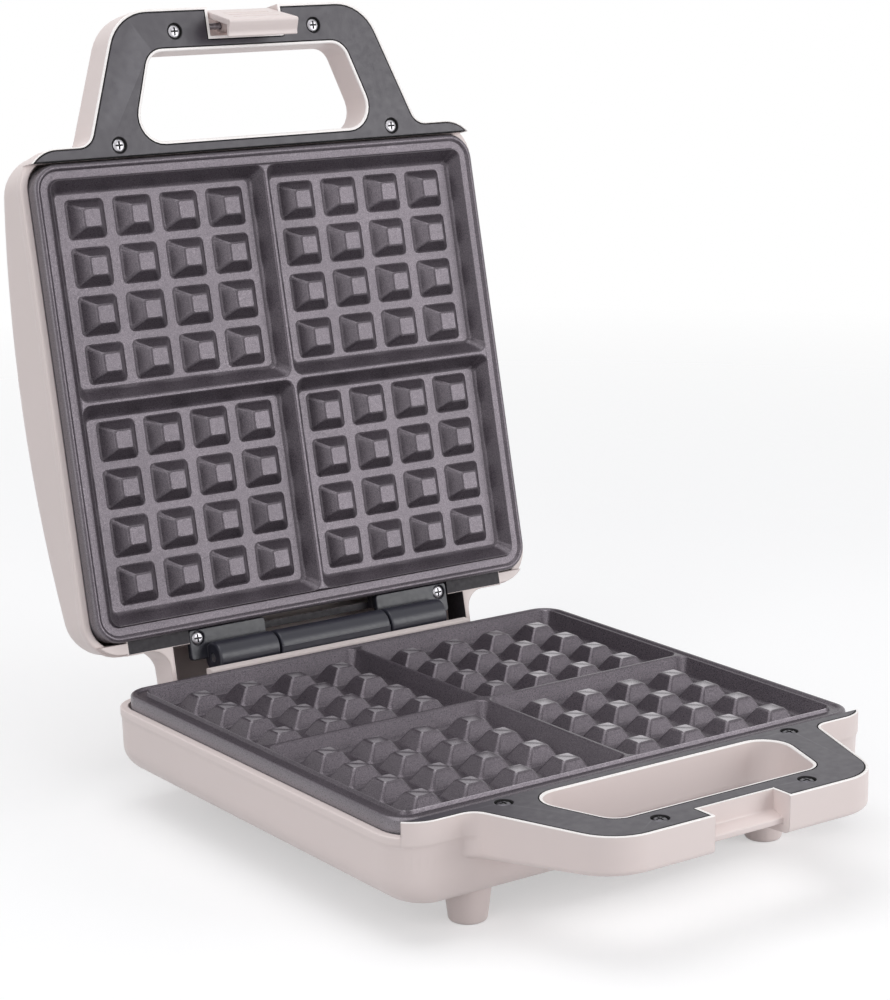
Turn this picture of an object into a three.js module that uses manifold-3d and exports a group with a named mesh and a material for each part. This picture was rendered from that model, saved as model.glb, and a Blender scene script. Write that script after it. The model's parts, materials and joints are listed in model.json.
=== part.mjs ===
// Waffle maker with a hinged lid, drawn with the lid leaning open on its stop.
// Millimetres, +Z up, handle towards -Y. Both halves are drawn in one "half frame": its origin is the middle
// of the plates on the parting plane, and +Z points away from that plane. The lid uses it as drawn, turned
// about the hinge. The base uses it mirrored.
import * as THREE from "three";
import { mergeVertices } from "three/addons/utils/BufferGeometryUtils.js";
import Module from "manifold-3d";

const wasm = await Module();
wasm.setup();

// Fits and cuts
const seatGap = 0.3;
const runningGap = 0.3;
const cutOver = 1;
const arcSteps = 4;

// Plates
const wellHalfWidth = 110.5;
const wellHalfDepth = 98.8;
const wellCorner = 4.5;
const wellCentreX = wellHalfWidth / 2;
const wellCentreY = wellHalfDepth / 2;
const crestGap = 0.2;
const crestSlope = 0.65;
const landDepth = 2;
const landWidth = 3.35;
const beadSlope = 1.2;
const beadDepth = 1.1;
const beadWidth = 1;
const beadEdge = 1.1;
const plateRim = crestSlope + landWidth + beadSlope + beadWidth + beadEdge;
const ridgeHalf = 0.9;
const wellFloor = 7.8;
const wellSlopeSide = 4.2;
const wellSlopeEnd = 5;
const wellFloorCorner = 3;
const plateFloorThick = 2.5;
const pegPitchX = 24;
const pegPitchY = 21.44;
const pegsPerRow = 4;
const pegBaseX = 18.6;
const pegBaseY = 17;
const pegTopX = 8.65;
const pegTopY = 8.6;
const pegBelowCrest = 1;
const pegRoot = 0.3;

// Shells, outside. They follow the plates.
const plateSideGap = 0.6;
const plateEndGap = 0.8;
const rimWidth = 3.3;
const frontDeckRun = 5.7;
const rearDeckRun = 5.8;
const deckInner = wellHalfDepth + plateRim + plateEndGap;
const shellHalfWidth = wellHalfWidth + plateRim + plateSideGap + rimWidth;
const shellFront = deckInner + frontDeckRun;
const shellBack = deckInner + rearDeckRun;
const shellCorner = 17;
const shellEdge = 7;
const shellWall = 2.5;
const lipHeight = 3.5;
const lipStep = 0.5;
const lipSlope = 0.5;
const wallDraft = 0.4;
const shellSideRuns = 6;

// Lid top and base underside
const lidTop = 45;
const lidTopAtEnds = 28.5;
const lidEdgeRadius = 10;
const baseBottom = 37.6;
const undercutSide = 18;
const undercutFront = 10;
const undercutHeight = 14;

// Raised deck in front of and behind the plates
const deckBite = 0.1;
const deckHalfWidth = shellHalfWidth - rimWidth + deckBite;
const partingGap = 0.5;
const rearDeckLid = 4;

// Handles
const coverEdgeGap = 0.2;
const coverShoulderStep = 0.8;
const coverRootInset = 34.5;
const coverTaper = 21.7;
const handleReach = 57.8;
const coverInner = deckInner + coverEdgeGap;
const coverShoulderY = shellFront - coverShoulderStep;
const coverCornerRadius = shellCorner - coverShoulderStep;
const coverCornerX = shellHalfWidth - shellCorner;
const coverCornerY = shellFront - shellCorner;
const coverRootX = shellHalfWidth - coverRootInset;
const coverRootRadius = 8.5;
const coverFront = shellFront + handleReach;
const coverFrontX = coverRootX - coverTaper;
const coverFrontRadius = 21;
const coverThick = 2.5;
const coverLip = 1.2;
const handleThick = 20;
const baseHandleFront = 16.3;
const lidHandleFront = 18.3;
const handleEdgeRadius = 3;
const handleWall = 2.5;
const handleBar = 17.8;
const handleSideAtRoot = 22.3;
const handleSideAtFront = 14.2;
const gripBack = shellFront;
const gripFront = coverFront - handleBar;
const gripBackX = coverRootX - handleSideAtRoot;
const gripFrontX = coverFrontX - handleSideAtFront;
const gripBackRadius = 11;
const gripFrontRadius = 8.5;
const gripRim = 1.3;

// Screws in the covers
const rearScrewInset = 13.85;
const rearScrewRun = 5.1;
const frontScrewInset = 8.9;
const rearScrewX = coverRootX - rearScrewInset;
const rearScrewY = coverInner + rearScrewRun;
const frontScrewX = 37.2;
const frontScrewY = coverFront - frontScrewInset;
const screwHeadRadius = 3;
const screwHeadHeight = 1.1;
const screwRecessRadius = 3.7;
const screwRecessDepth = 1.3;
const screwShankRadius = 1.5;
const screwLength = 9;
const screwBossRadius = 3.6;
const screwCrossLength = 3.8;
const screwCrossWidth = 0.9;
const screwCrossDepth = 0.7;

// Notch for the latch
const notchHalf = 18.9;
const lidNotchReach = 11.8;
const lidNotchBack = coverFront - lidNotchReach;
const baseNotchReach = 8;
const baseNotchBack = coverFront - baseNotchReach;
const hookRoomReach = 12.4;
const hookRoomBack = coverFront - hookRoomReach;
const notchCheek = 2.4;
const shelfSetback = 2.2;
const shelfFront = coverFront - shelfSetback;
const shelfBackDepth = 8.6;
const shelfFrontDepth = 10.6;
const shelfUnder = 12.9;
const lidPocketTop = 14.8;

// Latch
const latchSideGap = 0.8;
const latchPivotInset = 6.4;
const latchProud = 1.1;
const latchHalf = notchHalf - latchSideGap;
const latchPivotY = coverFront - latchPivotInset;
const latchPivotZ = 8;
const latchFace = coverFront + latchProud;
const latchThick = 3;
const latchTop = 12;
const latchTopLean = 1.2;
const latchHookReach = 8;
const latchHookTip = latchFace - latchHookReach;
const latchHookRise = 0.7;
const latchHookThick = 3;
const latchHookCorner = 1.4;
const latchGrooveHalf = 12;
const latchGrooveWidth = 1.3;
const latchGrooveDepth = 0.7;
const latchGroovePitch = 4.5;
const latchGrooves = 3;
const latchBossRadius = 3.3;
const latchBossHalf = 9;
const latchPinRadius = 1.5;
const latchPinSocket = 2;
const latchFreeSwing = THREE.MathUtils.degToRad(20);
const latchTwistAxis = new THREE.Vector3(1, 0, 0);
const latchSpringRadius = 2.8;
const latchSpringWire = 0.4;
const latchSpringTurns = 5;
const latchSpringPitch = 1.3;
const latchSpringSteps = 8;

// Opened lid and hinge
const openAngle = THREE.MathUtils.degToRad(102.56);
const hingeBehindShell = 7.6;
const hingeY = shellBack + hingeBehindShell;
const hingeZ = 0.75;
const barrelRadius = 7.3;
const centreKnuckleHalf = 30;
const sideKnuckleOuter = 62.5;
const knuckleGap = 0.75;
const hingePinRadius = 2;
const leafWing = 8.5;
const leafOuter = sideKnuckleOuter + leafWing;
const baseRearDeckHalf = leafOuter;
const leafFace = 4.5;
const leafThick = 3;
const leafFront = deckInner - seatGap;
const leafScrewInset = 4.5;
const leafScrewRun = 4;
const leafScrewX = leafOuter - leafScrewInset;
const leafScrewY = leafFront + leafScrewRun;
const leafRecessRadius = 3.3;
const knuckleWebTop = 2.5;
const knuckleWebDepth = 9;

// Tongue behind the lid
const tongueSideRoom = 11.5;
const tongueFlare = 20.5;
const tongueBehindHinge = 24.1;
const tongueSideX = leafOuter + tongueSideRoom;
const tongueRootX = tongueSideX + tongueFlare;
const tongueRootRadius = 9;
const tongueRear = hingeY + tongueBehindHinge;
const tongueRearRadius = 10;
const tongueTopFront = 31;
const tongueShoulderRun = 1.1;
const tongueShoulderY = hingeY + tongueShoulderRun;
const tongueTop = 25;
const tongueEdgeRadius = 8;
const tongueWall = 2.5;
const stopInset = 27.5;
const stopHalfWidth = tongueSideX - stopInset;
const stopRibTop = 18.5;
const stopRibBottom = 27;

// Feet
const footInsetX = 44.7;
const footInsetY = 19.1;
const footX = shellHalfWidth - footInsetX;
const footY = shellFront - footInsetY;
const footTopRadius = 9.6;
const footBottomRadius = 7.9;
const footHeight = 15.1;
const footEdge = 1.2;

// Heating
const postInset = 8.5;
const postX = wellHalfWidth - postInset;
const postY = wellHalfDepth - postInset;
const postRadius = 4.5;
const trayPostGap = 5.5;
const trayHalfWidth = postX - postRadius - trayPostGap;
const trayHalfDepth = postY - postRadius - trayPostGap;
const trayCorner = 14;
const trayDepth = 8.6;
const trayWall = 1;
const trayHole = 4.6;
const elementInset = 18;
const elementRadius = 3.25;
const elementHalfWidth = trayHalfWidth - elementInset;
const elementHalfDepth = trayHalfDepth - elementInset;
const elementBend = 16;
const elementTailX = 20;
const elementTailLength = 9;
const elementSteps = 36;
const elementSides = 8;

// Electrics
const thermostatRadius = 9;
const thermostatHeight = 8;
const thermostatPlateX = 15;
const thermostatPlateY = 8;
const thermostatPlateThick = 1.2;
const thermostatX = -45;
const thermostatY = 10;
const fuseRadius = 2.2;
const fuseLength = 26;
const fuseX = 45;
const terminalWidth = 34;
const terminalDepth = 16;
const terminalHeight = 11;
const terminalInsetX = 52.5;
const terminalInsetY = 50.7;
const terminalX = shellHalfWidth - terminalInsetX;
const terminalY = shellBack - terminalInsetY;
const terminalHoleRadius = 2.2;
const terminalHoleX = 8;
const glandInset = 26.5;
const glandX = shellHalfWidth - glandInset;
const glandDepth = 23;
const glandRadius = 5;
const glandFlangeRadius = 7.5;
const glandFlangeThick = 2;
const glandBore = 3.2;
const glandInside = 5;
const glandInner = shellBack - rimWidth - glandInside;

// Indicator lamps in the lid's top
const lampX = 9;
const lampInset = 26.6;
const lampY = shellFront - lampInset;
const lensRadius = 3;
const lensRimRadius = 4;
const lensRimThick = 0.8;
const lensStem = 5;
const lensDome = 1;
const lampRadius = 2.4;
const lampLength = 11;

// Finishes
const blushShell = { color: 0xddd1d0, roughness: 0.42, metalness: 0 };
const charcoalCover = { color: 0x5d585f, roughness: 0.4, metalness: 0 };
const nonStickPlate = { color: 0x5a545b, roughness: 0.45, metalness: 0.3 };
const darkHinge = { color: 0x2d2d37, roughness: 0.45, metalness: 0 };
const steelFinish = { color: 0xb8b8bc, roughness: 0.35, metalness: 1 };
const blackScrew = { color: 0x26262a, roughness: 0.35, metalness: 0.8 };
const ceramicFinish = { color: 0xe9e4da, roughness: 0.7, metalness: 0 };
const rubberFinish = { color: 0x1d1d20, roughness: 0.8, metalness: 0 };
const redLens = { color: 0xb3261e, roughness: 0.2, metalness: 0 };
const greenLens = { color: 0x2e8b44, roughness: 0.2, metalness: 0 };
const lampGlass = { color: 0xf2efe6, roughness: 0.1, metalness: 0 };

// Solids and meshes

function solidOf(geometry) {
  const bare = geometry.clone();
  bare.deleteAttribute("normal");
  bare.deleteAttribute("uv");
  const merged = mergeVertices(bare);
  return new wasm.Manifold(
    new wasm.Mesh({
      numProp: 3,
      vertProperties: new Float32Array(merged.attributes.position.array),
      triVerts: new Uint32Array(merged.index.array),
    }),
  );
}

function geometryOf(solid) {
  const mesh = solid.getMesh();
  const geometry = new THREE.BufferGeometry();
  geometry.setAttribute("position", new THREE.BufferAttribute(mesh.vertProperties, 3));
  geometry.setIndex(new THREE.BufferAttribute(mesh.triVerts, 1));
  geometry.computeVertexNormals();
  return geometry;
}

function joined(...geometries) {
  return geometryOf(geometries.map(solidOf).reduce((sum, next) => sum.add(next)));
}

function cutBy(geometry, ...cutters) {
  return geometryOf(cutters.map(solidOf).reduce((rest, next) => rest.subtract(next), solidOf(geometry)));
}

function mirroredInZ(geometry) {
  const source = geometry.index ? geometry : mergeVertices(geometry);
  const mirrored = source.clone().scale(1, 1, -1);
  const index = Array.from(mirrored.index.array);
  for (let i = 0; i < index.length; i += 3) {
    [index[i], index[i + 1]] = [index[i + 1], index[i]];
  }
  mirrored.setIndex(index);
  mirrored.computeVertexNormals();
  return mirrored;
}

// Outlines

// A closed outline through corners [x, y, radius], each rounded by an arc.
function roundedOutline(corners) {
  const outline = [];
  corners.forEach(([x, y, radius], i) => {
    const corner = new THREE.Vector2(x, y);
    const [px, py] = corners[(i + corners.length - 1) % corners.length];
    const [nx, ny] = corners[(i + 1) % corners.length];
    const back = new THREE.Vector2(px, py).sub(corner).normalize();
    const ahead = new THREE.Vector2(nx, ny).sub(corner).normalize();
    if (radius === 0) {
      outline.push(corner);
      return;
    }
    const half = Math.acos(THREE.MathUtils.clamp(back.dot(ahead), -1, 1)) / 2;
    const reach = radius / Math.sin(half);
    const centre = back.clone().add(ahead).normalize().multiplyScalar(reach).add(corner);
    const from = back.clone().multiplyScalar(radius / Math.tan(half)).add(corner).sub(centre);
    const to = ahead.clone().multiplyScalar(radius / Math.tan(half)).add(corner).sub(centre);
    const sweep = Math.atan2(from.cross(to), from.dot(to));
    for (let k = 0; k <= arcSteps; k += 1) {
      outline.push(from.clone().rotateAround(new THREE.Vector2(), (sweep * k) / arcSteps).add(centre));
    }
  });
  return outline;
}

// Right-hand corners listed from the front backwards become a whole, left-right alike, anticlockwise outline.
function mirroredOutline(rightCorners) {
  const left = rightCorners.map(([x, y, radius]) => [-x, y, radius]).reverse();
  return roundedOutline([...rightCorners, ...left]);
}

// The outline moved outwards by a distance, or inwards where it is negative.
function offsetOutline(outline, distance) {
  return outline.map((point, i) => {
    const before = outline[(i + outline.length - 1) % outline.length];
    const after = outline[(i + 1) % outline.length];
    const inward = point.clone().sub(before).normalize();
    const onward = after.clone().sub(point).normalize();
    const normalIn = new THREE.Vector2(inward.y, -inward.x);
    const normalOn = new THREE.Vector2(onward.y, -onward.x);
    const middle = normalIn.clone().add(normalOn).normalize();
    return middle.multiplyScalar(distance / middle.dot(normalIn)).add(point);
  });
}

function rectangle(x0, x1, y0, y1) {
  return [[x0, y0], [x1, y0], [x1, y1], [x0, y1]].map(([x, y]) => new THREE.Vector2(x, y));
}

// Right half of a rounded plan, front to back, with the same number of points for every size.
function halfPlan(halfWidth, front, back, radius) {
  const points = [];
  for (let k = 0; k <= arcSteps; k += 1) {
    const angle = -Math.PI / 2 + (k * Math.PI) / 2 / arcSteps;
    const x = halfWidth - radius + radius * Math.cos(angle);
    points.push([x, -front + radius + radius * Math.sin(angle)]);
  }
  for (let k = 1; k < shellSideRuns; k += 1) {
    points.push([halfWidth, -front + radius + ((front + back - 2 * radius) * k) / shellSideRuns]);
  }
  for (let k = 0; k <= arcSteps; k += 1) {
    const angle = (k * Math.PI) / 2 / arcSteps;
    const x = halfWidth - radius + radius * Math.cos(angle);
    points.push([x, back - radius + radius * Math.sin(angle)]);
  }
  return points;
}

// Solids from outlines

function extruded(outline, low, high, holes = []) {
  const shape = new THREE.Shape(outline);
  holes.forEach((hole) => shape.holes.push(new THREE.Path(hole)));
  return new THREE.ExtrudeGeometry(shape, { depth: high - low, bevelEnabled: false }).translate(0, 0, low);
}

// Profile points hold (y, z); the solid runs from x0 to x1.
function extrudedAlongX(profile, x0, x1) {
  const turned = profile.map((point) => new THREE.Vector2(point.x, point.y));
  const geometry = extruded(turned, 0, x1 - x0);
  const toYZ = new THREE.Matrix4().makeBasis(
    new THREE.Vector3(0, 1, 0),
    new THREE.Vector3(0, 0, 1),
    new THREE.Vector3(1, 0, 0),
  );
  return geometry.applyMatrix4(toYZ).translate(x0, 0, 0);
}

function block(x0, x1, y0, y1, z0, z1) {
  return extruded(rectangle(x0, x1, y0, y1), z0, z1);
}

function disc(radius, x, y, z0, z1, sides = 16) {
  return new THREE.CylinderGeometry(radius, radius, z1 - z0, sides)
    .rotateX(Math.PI / 2)
    .translate(x, y, (z0 + z1) / 2);
}

function rodAlongX(radius, x0, x1, y, z, sides = 20) {
  return new THREE.CylinderGeometry(radius, radius, x1 - x0, sides)
    .rotateZ(Math.PI / 2)
    .translate((x0 + x1) / 2, y, z);
}

function rodAlongY(radius, x, y0, y1, z, sides = 16) {
  return new THREE.CylinderGeometry(radius, radius, y1 - y0, sides).translate(x, (y0 + y1) / 2, z);
}

// A closed skin through rings of [x, y, z]. Each ring is anticlockwise from above, and they go upwards.
// The ends are closed by the given list of triangles.
function lofted(rings, capTriangles) {
  const count = rings[0].length;
  const index = [];
  rings.slice(1).forEach((_, r) => {
    for (let i = 0; i < count; i += 1) {
      const next = (i + 1) % count;
      const low = r * count;
      const high = low + count;
      index.push(low + i, low + next, high + next, low + i, high + next, high + i);
    }
  });
  const top = (rings.length - 1) * count;
  capTriangles.forEach(([a, b, c]) => {
    index.push(c, b, a);
    index.push(top + a, top + b, top + c);
  });
  const geometry = new THREE.BufferGeometry();
  geometry.setAttribute("position", new THREE.Float32BufferAttribute(rings.flat(2), 3));
  geometry.setIndex(index);
  return geometry;
}

// Rings from one outline, stepped by [offset, z].
function steppedSolid(outline, steps) {
  const ringAt = ([offset, z]) => offsetOutline(outline, offset).map((point) => [point.x, point.y, z]);
  const rings = steps.map(ringAt);
  return lofted(rings, THREE.ShapeUtils.triangulateShape(outline, []));
}

// Rings from right halves, mirrored to the left; the ends are closed by strips across.
function mirroredLoft(halves) {
  const rings = halves.map((half) => [...half, ...half.map(([x, y, z]) => [-x, y, z]).reverse()]);
  const count = rings[0].length;
  const strips = [];
  for (let i = 0; i < count / 2 - 1; i += 1) {
    const left = count - 1 - i;
    strips.push([i, i + 1, left - 1], [i, left - 1, left]);
  }
  return lofted(rings, strips);
}

function roundedOver(radius, height) {
  const steps = [];
  for (let k = 0; k <= arcSteps; k += 1) {
    const angle = (k * Math.PI) / 2 / arcSteps;
    steps.push([-radius * (1 - Math.cos(angle)), height - radius * (1 - Math.sin(angle))]);
  }
  return steps;
}

// Shell bodies

function lidHeightAt(y, below = 0) {
  return lidTop - below - (lidTop - lidTopAtEnds) * (y / shellBack) ** 2;
}

function lidRing(inset, heightOf) {
  const radius = Math.max(shellCorner - inset, shellWall);
  const plan = halfPlan(shellHalfWidth - inset, shellFront - inset, shellBack - inset, radius);
  return plan.map(([x, y]) => [x, y, heightOf(y)]);
}

function lidOuter() {
  const wallInset = lipStep + wallDraft;
  const rings = [
    lidRing(0, () => shellEdge),
    lidRing(0, () => shellEdge + lipHeight),
    lidRing(lipStep, () => shellEdge + lipHeight + lipSlope),
  ];
  roundedOver(lidEdgeRadius, 0).forEach(([offset, rise]) => {
    rings.push(lidRing(wallInset - offset, (y) => lidHeightAt(y) + rise));
  });
  return mirroredLoft(rings);
}

function lidCavity() {
  const rings = [lidRing(rimWidth, () => shellEdge - cutOver)];
  roundedOver(lidEdgeRadius - shellWall, 0).forEach(([offset, rise]) => {
    rings.push(lidRing(rimWidth - offset, (y) => lidHeightAt(y, shellWall) + rise));
  });
  return mirroredLoft(rings);
}

function baseRing(insetSide, insetEnd, height) {
  const radius = Math.max(shellCorner - insetEnd, shellWall);
  const plan = halfPlan(shellHalfWidth - insetSide, shellFront - insetEnd, shellBack - insetEnd, radius);
  return plan.map(([x, y]) => [x, y, height]);
}

function baseOuter() {
  const wallInset = lipStep + wallDraft;
  const rings = [
    baseRing(0, 0, shellEdge),
    baseRing(0, 0, shellEdge + lipHeight),
    baseRing(lipStep, lipStep, shellEdge + lipHeight + lipSlope),
  ];
  for (let k = 0; k <= arcSteps; k += 1) {
    const angle = (k * Math.PI) / 2 / arcSteps;
    const turn = 1 - Math.cos(angle);
    const height = baseBottom - undercutHeight * (1 - Math.sin(angle));
    rings.push(baseRing(wallInset + undercutSide * turn, wallInset + undercutFront * turn, height));
  }
  return mirroredLoft(rings);
}

function baseCavity() {
  const rings = [baseRing(rimWidth, rimWidth, shellEdge - cutOver)];
  for (let k = 0; k <= arcSteps; k += 1) {
    const angle = (k * Math.PI) / 2 / arcSteps;
    const turn = 1 - Math.cos(angle);
    const height = baseBottom - shellWall - (undercutHeight - shellWall) * (1 - Math.sin(angle));
    rings.push(baseRing(rimWidth + undercutSide * turn, rimWidth + undercutFront * turn, height));
  }
  return mirroredLoft(rings);
}

// Handle outlines

// The shoulder follows the shell's corner, down to a tip beside the plate.
function coverShoulder() {
  const tip = Math.asin((coverInner - coverCornerY) / coverCornerRadius);
  const points = [];
  for (let k = 0; k <= arcSteps; k += 1) {
    const angle = Math.PI / 2 + ((tip - Math.PI / 2) * k) / arcSteps;
    const x = coverCornerX + coverCornerRadius * Math.cos(angle);
    points.push([x, -coverCornerY - coverCornerRadius * Math.sin(angle), 0]);
  }
  return points;
}

function coverCorners() {
  return [
    [coverFrontX, -coverFront, coverFrontRadius],
    [coverRootX, -coverShoulderY, coverRootRadius],
    ...coverShoulder(),
  ];
}

function gripCorners() {
  return [
    [gripFrontX, -gripFront, gripFrontRadius],
    [gripBackX, -gripBack, gripBackRadius],
  ];
}

const coverOutline = mirroredOutline(coverCorners());
const gripOutline = mirroredOutline(gripCorners());
const handleOutline = offsetOutline(coverOutline, coverLip + seatGap);

const coverScrewPlaces = [
  [rearScrewX, -rearScrewY],
  [-rearScrewX, -rearScrewY],
  [frontScrewX, -frontScrewY],
  [-frontScrewX, -frontScrewY],
];

// A handle thins evenly from its full height at the body to the given height at its front.
function handleHeightAt(y, height, frontThick) {
  const share = 1 - (1 - frontThick / handleThick) * ((-y - shellFront) / handleReach);
  return partingGap + (height - partingGap) * share;
}

function thinned(geometry, frontThick) {
  const position = geometry.attributes.position;
  for (let i = 0; i < position.count; i += 1) {
    position.setZ(i, handleHeightAt(position.getY(i), position.getZ(i), frontThick));
  }
  return geometry;
}

function handleOuter(frontThick) {
  const steps = [[0, partingGap], ...roundedOver(handleEdgeRadius, handleThick)];
  const half = shellHalfWidth + cutOver;
  const plateSide = block(-half, half, -deckInner, 0, partingGap - cutOver, handleThick + cutOver);
  return cutBy(thinned(steppedSolid(handleOutline, steps), frontThick), plateSide);
}

function handleHollow(frontThick) {
  const low = partingGap + coverThick;
  const high = handleThick - handleWall;
  const loop = [
    [coverFrontX, -coverFront, coverFrontRadius],
    [coverRootX, -coverShoulderY, coverRootRadius],
    [coverRootX + coverRootRadius, -coverShoulderY, 0],
    [coverRootX + coverRootRadius, -coverInner, 0],
  ];
  const inset = coverLip + seatGap - handleWall;
  const whole = thinned(extruded(offsetOutline(mirroredOutline(loop), inset), low, high), frontThick);
  const gripWall = extruded(offsetOutline(gripOutline, handleWall), low - cutOver, high + cutOver);
  const bodySide = block(
    -shellHalfWidth, shellHalfWidth,
    -shellFront, 0,
    low - cutOver, high + cutOver,
  );
  const notchBlock = block(
    -notchHalf - notchCheek, notchHalf + notchCheek,
    -coverFront - cutOver, -hookRoomBack + notchCheek,
    low - cutOver, high + cutOver,
  );
  return cutBy(whole, gripWall, bodySide, notchBlock);
}

// Room for the cover, with the rims round the grip opening and round the notch left standing.
function coverRecess(notchBack) {
  const low = partingGap - cutOver;
  const high = partingGap + coverThick + seatGap;
  const whole = extruded(offsetOutline(coverOutline, seatGap), low, high);
  const gripRimSolid = extruded(offsetOutline(gripOutline, gripRim), low - cutOver, high + cutOver);
  const notchRimSolid = block(
    -notchHalf - gripRim, notchHalf + gripRim,
    -coverFront - cutOver, -notchBack + gripRim,
    low - cutOver, high + cutOver,
  );
  return cutBy(whole, gripRimSolid, notchRimSolid);
}

function handleCover(notchBack) {
  const low = partingGap;
  const high = partingGap + coverThick;
  const gripHole = extruded(offsetOutline(gripOutline, gripRim + seatGap), low - cutOver, high + cutOver);
  const notchRoom = gripRim + seatGap;
  const notchHole = block(
    -notchHalf - notchRoom, notchHalf + notchRoom,
    -coverFront - cutOver, -notchBack + notchRoom,
    low - cutOver, high + cutOver,
  );
  const screwRooms = coverScrewPlaces.flatMap(([x, y]) => [
    disc(screwRecessRadius, x, y, low - cutOver, low + screwRecessDepth),
    disc(screwShankRadius + runningGap, x, y, low, high + cutOver, 8),
  ]);
  return cutBy(extruded(coverOutline, low, high), gripHole, notchHole, ...screwRooms);
}

function baseNotch() {
  const low = handleThick + cutOver;
  const out = -coverFront - coverLip - cutOver;
  const top = partingGap - cutOver;
  const profile = [
    [-baseNotchBack, top],
    [out, top],
    [out, low],
    [-hookRoomBack, low],
    [-hookRoomBack, shelfUnder],
    [-shelfFront, shelfUnder],
    [-shelfFront, shelfFrontDepth],
    [-baseNotchBack, shelfBackDepth],
  ];
  return extrudedAlongX(profile.map(([y, z]) => new THREE.Vector2(y, z)), -notchHalf, notchHalf);
}

function lidNotch() {
  const out = -coverFront - coverLip - cutOver;
  const reach = notchHalf + latchPinSocket;
  const pocket = block(-notchHalf, notchHalf, out, -lidNotchBack, partingGap - cutOver, lidPocketTop);
  const pinHole = rodAlongX(latchPinRadius + runningGap, -reach, reach, -latchPivotY, latchPivotZ, 16);
  return joined(pocket, pinHole);
}

function screwBosses(frontThick) {
  const low = partingGap + coverThick + seatGap;
  const high = handleThick - handleWall / 2;
  return coverScrewPlaces.map(([x, y]) =>
    disc(screwBossRadius, x, y, low, handleHeightAt(y, high, frontThick)),
  );
}

function screwBores() {
  const high = partingGap + screwRecessDepth + screwLength + cutOver;
  return coverScrewPlaces.map(([x, y]) => disc(screwShankRadius + runningGap, x, y, 0, high, 8));
}

function platePosts(floorAt) {
  const low = wellFloor + plateFloorThick + seatGap;
  return [1, -1].flatMap((side) =>
    [1, -1].map((end) => {
      const high = floorAt(end * postY) - shellWall / 2;
      return disc(postRadius, side * postX, end * postY, low, high);
    }),
  );
}

// A ledge inside the shell's own plan.
function deck(half, front, back, face) {
  const ledge = block(-half, half, front, back, face, shellEdge + lipHeight);
  const rightHalf = halfPlan(shellHalfWidth, shellFront, shellBack, shellCorner);
  const leftHalf = rightHalf.map(([x, y]) => [-x, y]).reverse();
  const plan = [...rightHalf, ...leftHalf].map(([x, y]) => new THREE.Vector2(x, y));
  return geometryOf(solidOf(ledge).intersect(solidOf(extruded(plan, 0, lidTop))));
}

function frontDeck() {
  return deck(deckHalfWidth, -shellFront, -deckInner, partingGap);
}

function rearDeck(half, face) {
  return deck(half, deckInner, shellBack, face);
}

// Tongue that covers the hinge behind the lid

function tongueOutline() {
  return mirroredOutline([
    [tongueRootX, shellBack - rimWidth, 0],
    [tongueRootX, shellBack, 0],
    [tongueSideX, shellBack, tongueRootRadius],
    [tongueSideX, tongueRear, tongueRearRadius],
  ]);
}

function tongueProfile(wall) {
  const rear = tongueRear - wall;
  const top = tongueTop - wall;
  return roundedOutline([
    [shellBack - rimWidth, rearDeckLid - (wall > 0 ? cutOver : 0), 0],
    [rear, rearDeckLid - (wall > 0 ? cutOver : 0), 0],
    [rear, top, tongueEdgeRadius - wall],
    [tongueShoulderY, top, tongueEdgeRadius],
    [shellBack, tongueTopFront - wall, 0],
    [shellBack - rimWidth, tongueTopFront - wall, 0],
  ]);
}

function tongueOuter() {
  const plan = extruded(tongueOutline(), 0, lidTop);
  const side = extrudedAlongX(tongueProfile(0), -tongueRootX, tongueRootX);
  return geometryOf(solidOf(plan).intersect(solidOf(side)));
}

function tongueHollow() {
  const half = tongueSideX - tongueWall;
  const plan = extruded(
    roundedOutline([
      [half, shellBack, 0],
      [half, tongueRear - tongueWall, tongueRearRadius - tongueWall],
      [-half, tongueRear - tongueWall, tongueRearRadius - tongueWall],
      [-half, shellBack, 0],
    ]),
    0, lidTop,
  );
  const side = extrudedAlongX(tongueProfile(tongueWall), -half, half);
  return geometryOf(solidOf(plan).intersect(solidOf(side)));
}

// Room for the leaves in the lid's rear deck, and the slot between them.
function hingeRoom() {
  const leafRoom = leafOuter + seatGap;
  const leafBack = leafFace + leafThick + seatGap;
  const rooms = [1, -1].map((side) =>
    block(
      Math.min(side * centreKnuckleHalf, side * leafRoom),
      Math.max(side * centreKnuckleHalf, side * leafRoom),
      deckInner - cutOver, shellBack + cutOver,
      rearDeckLid - cutOver, leafBack,
    ),
  );
  const slot = block(
    -centreKnuckleHalf, centreKnuckleHalf,
    deckInner - cutOver, shellBack + cutOver,
    rearDeckLid - cutOver, shellEdge + lipHeight + cutOver,
  );
  return [...rooms, slot];
}

const leafScrewPlaces = [
  [leafScrewX, leafScrewY],
  [-leafScrewX, leafScrewY],
];

function leafBosses() {
  const low = leafFace + leafThick + seatGap;
  return leafScrewPlaces.map(([x, y]) => disc(screwBossRadius, x, y, low, low + screwLength));
}

function leafBores() {
  const high = leafFace + screwLength + cutOver;
  return leafScrewPlaces.map(([x, y]) => disc(screwShankRadius + runningGap, x, y, 0, high, 8));
}

function lampHoles() {
  return [lampX, -lampX].map((x) =>
    disc(lensRadius + seatGap, x, -lampY, shellEdge, lidTop, 16),
  );
}

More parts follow.
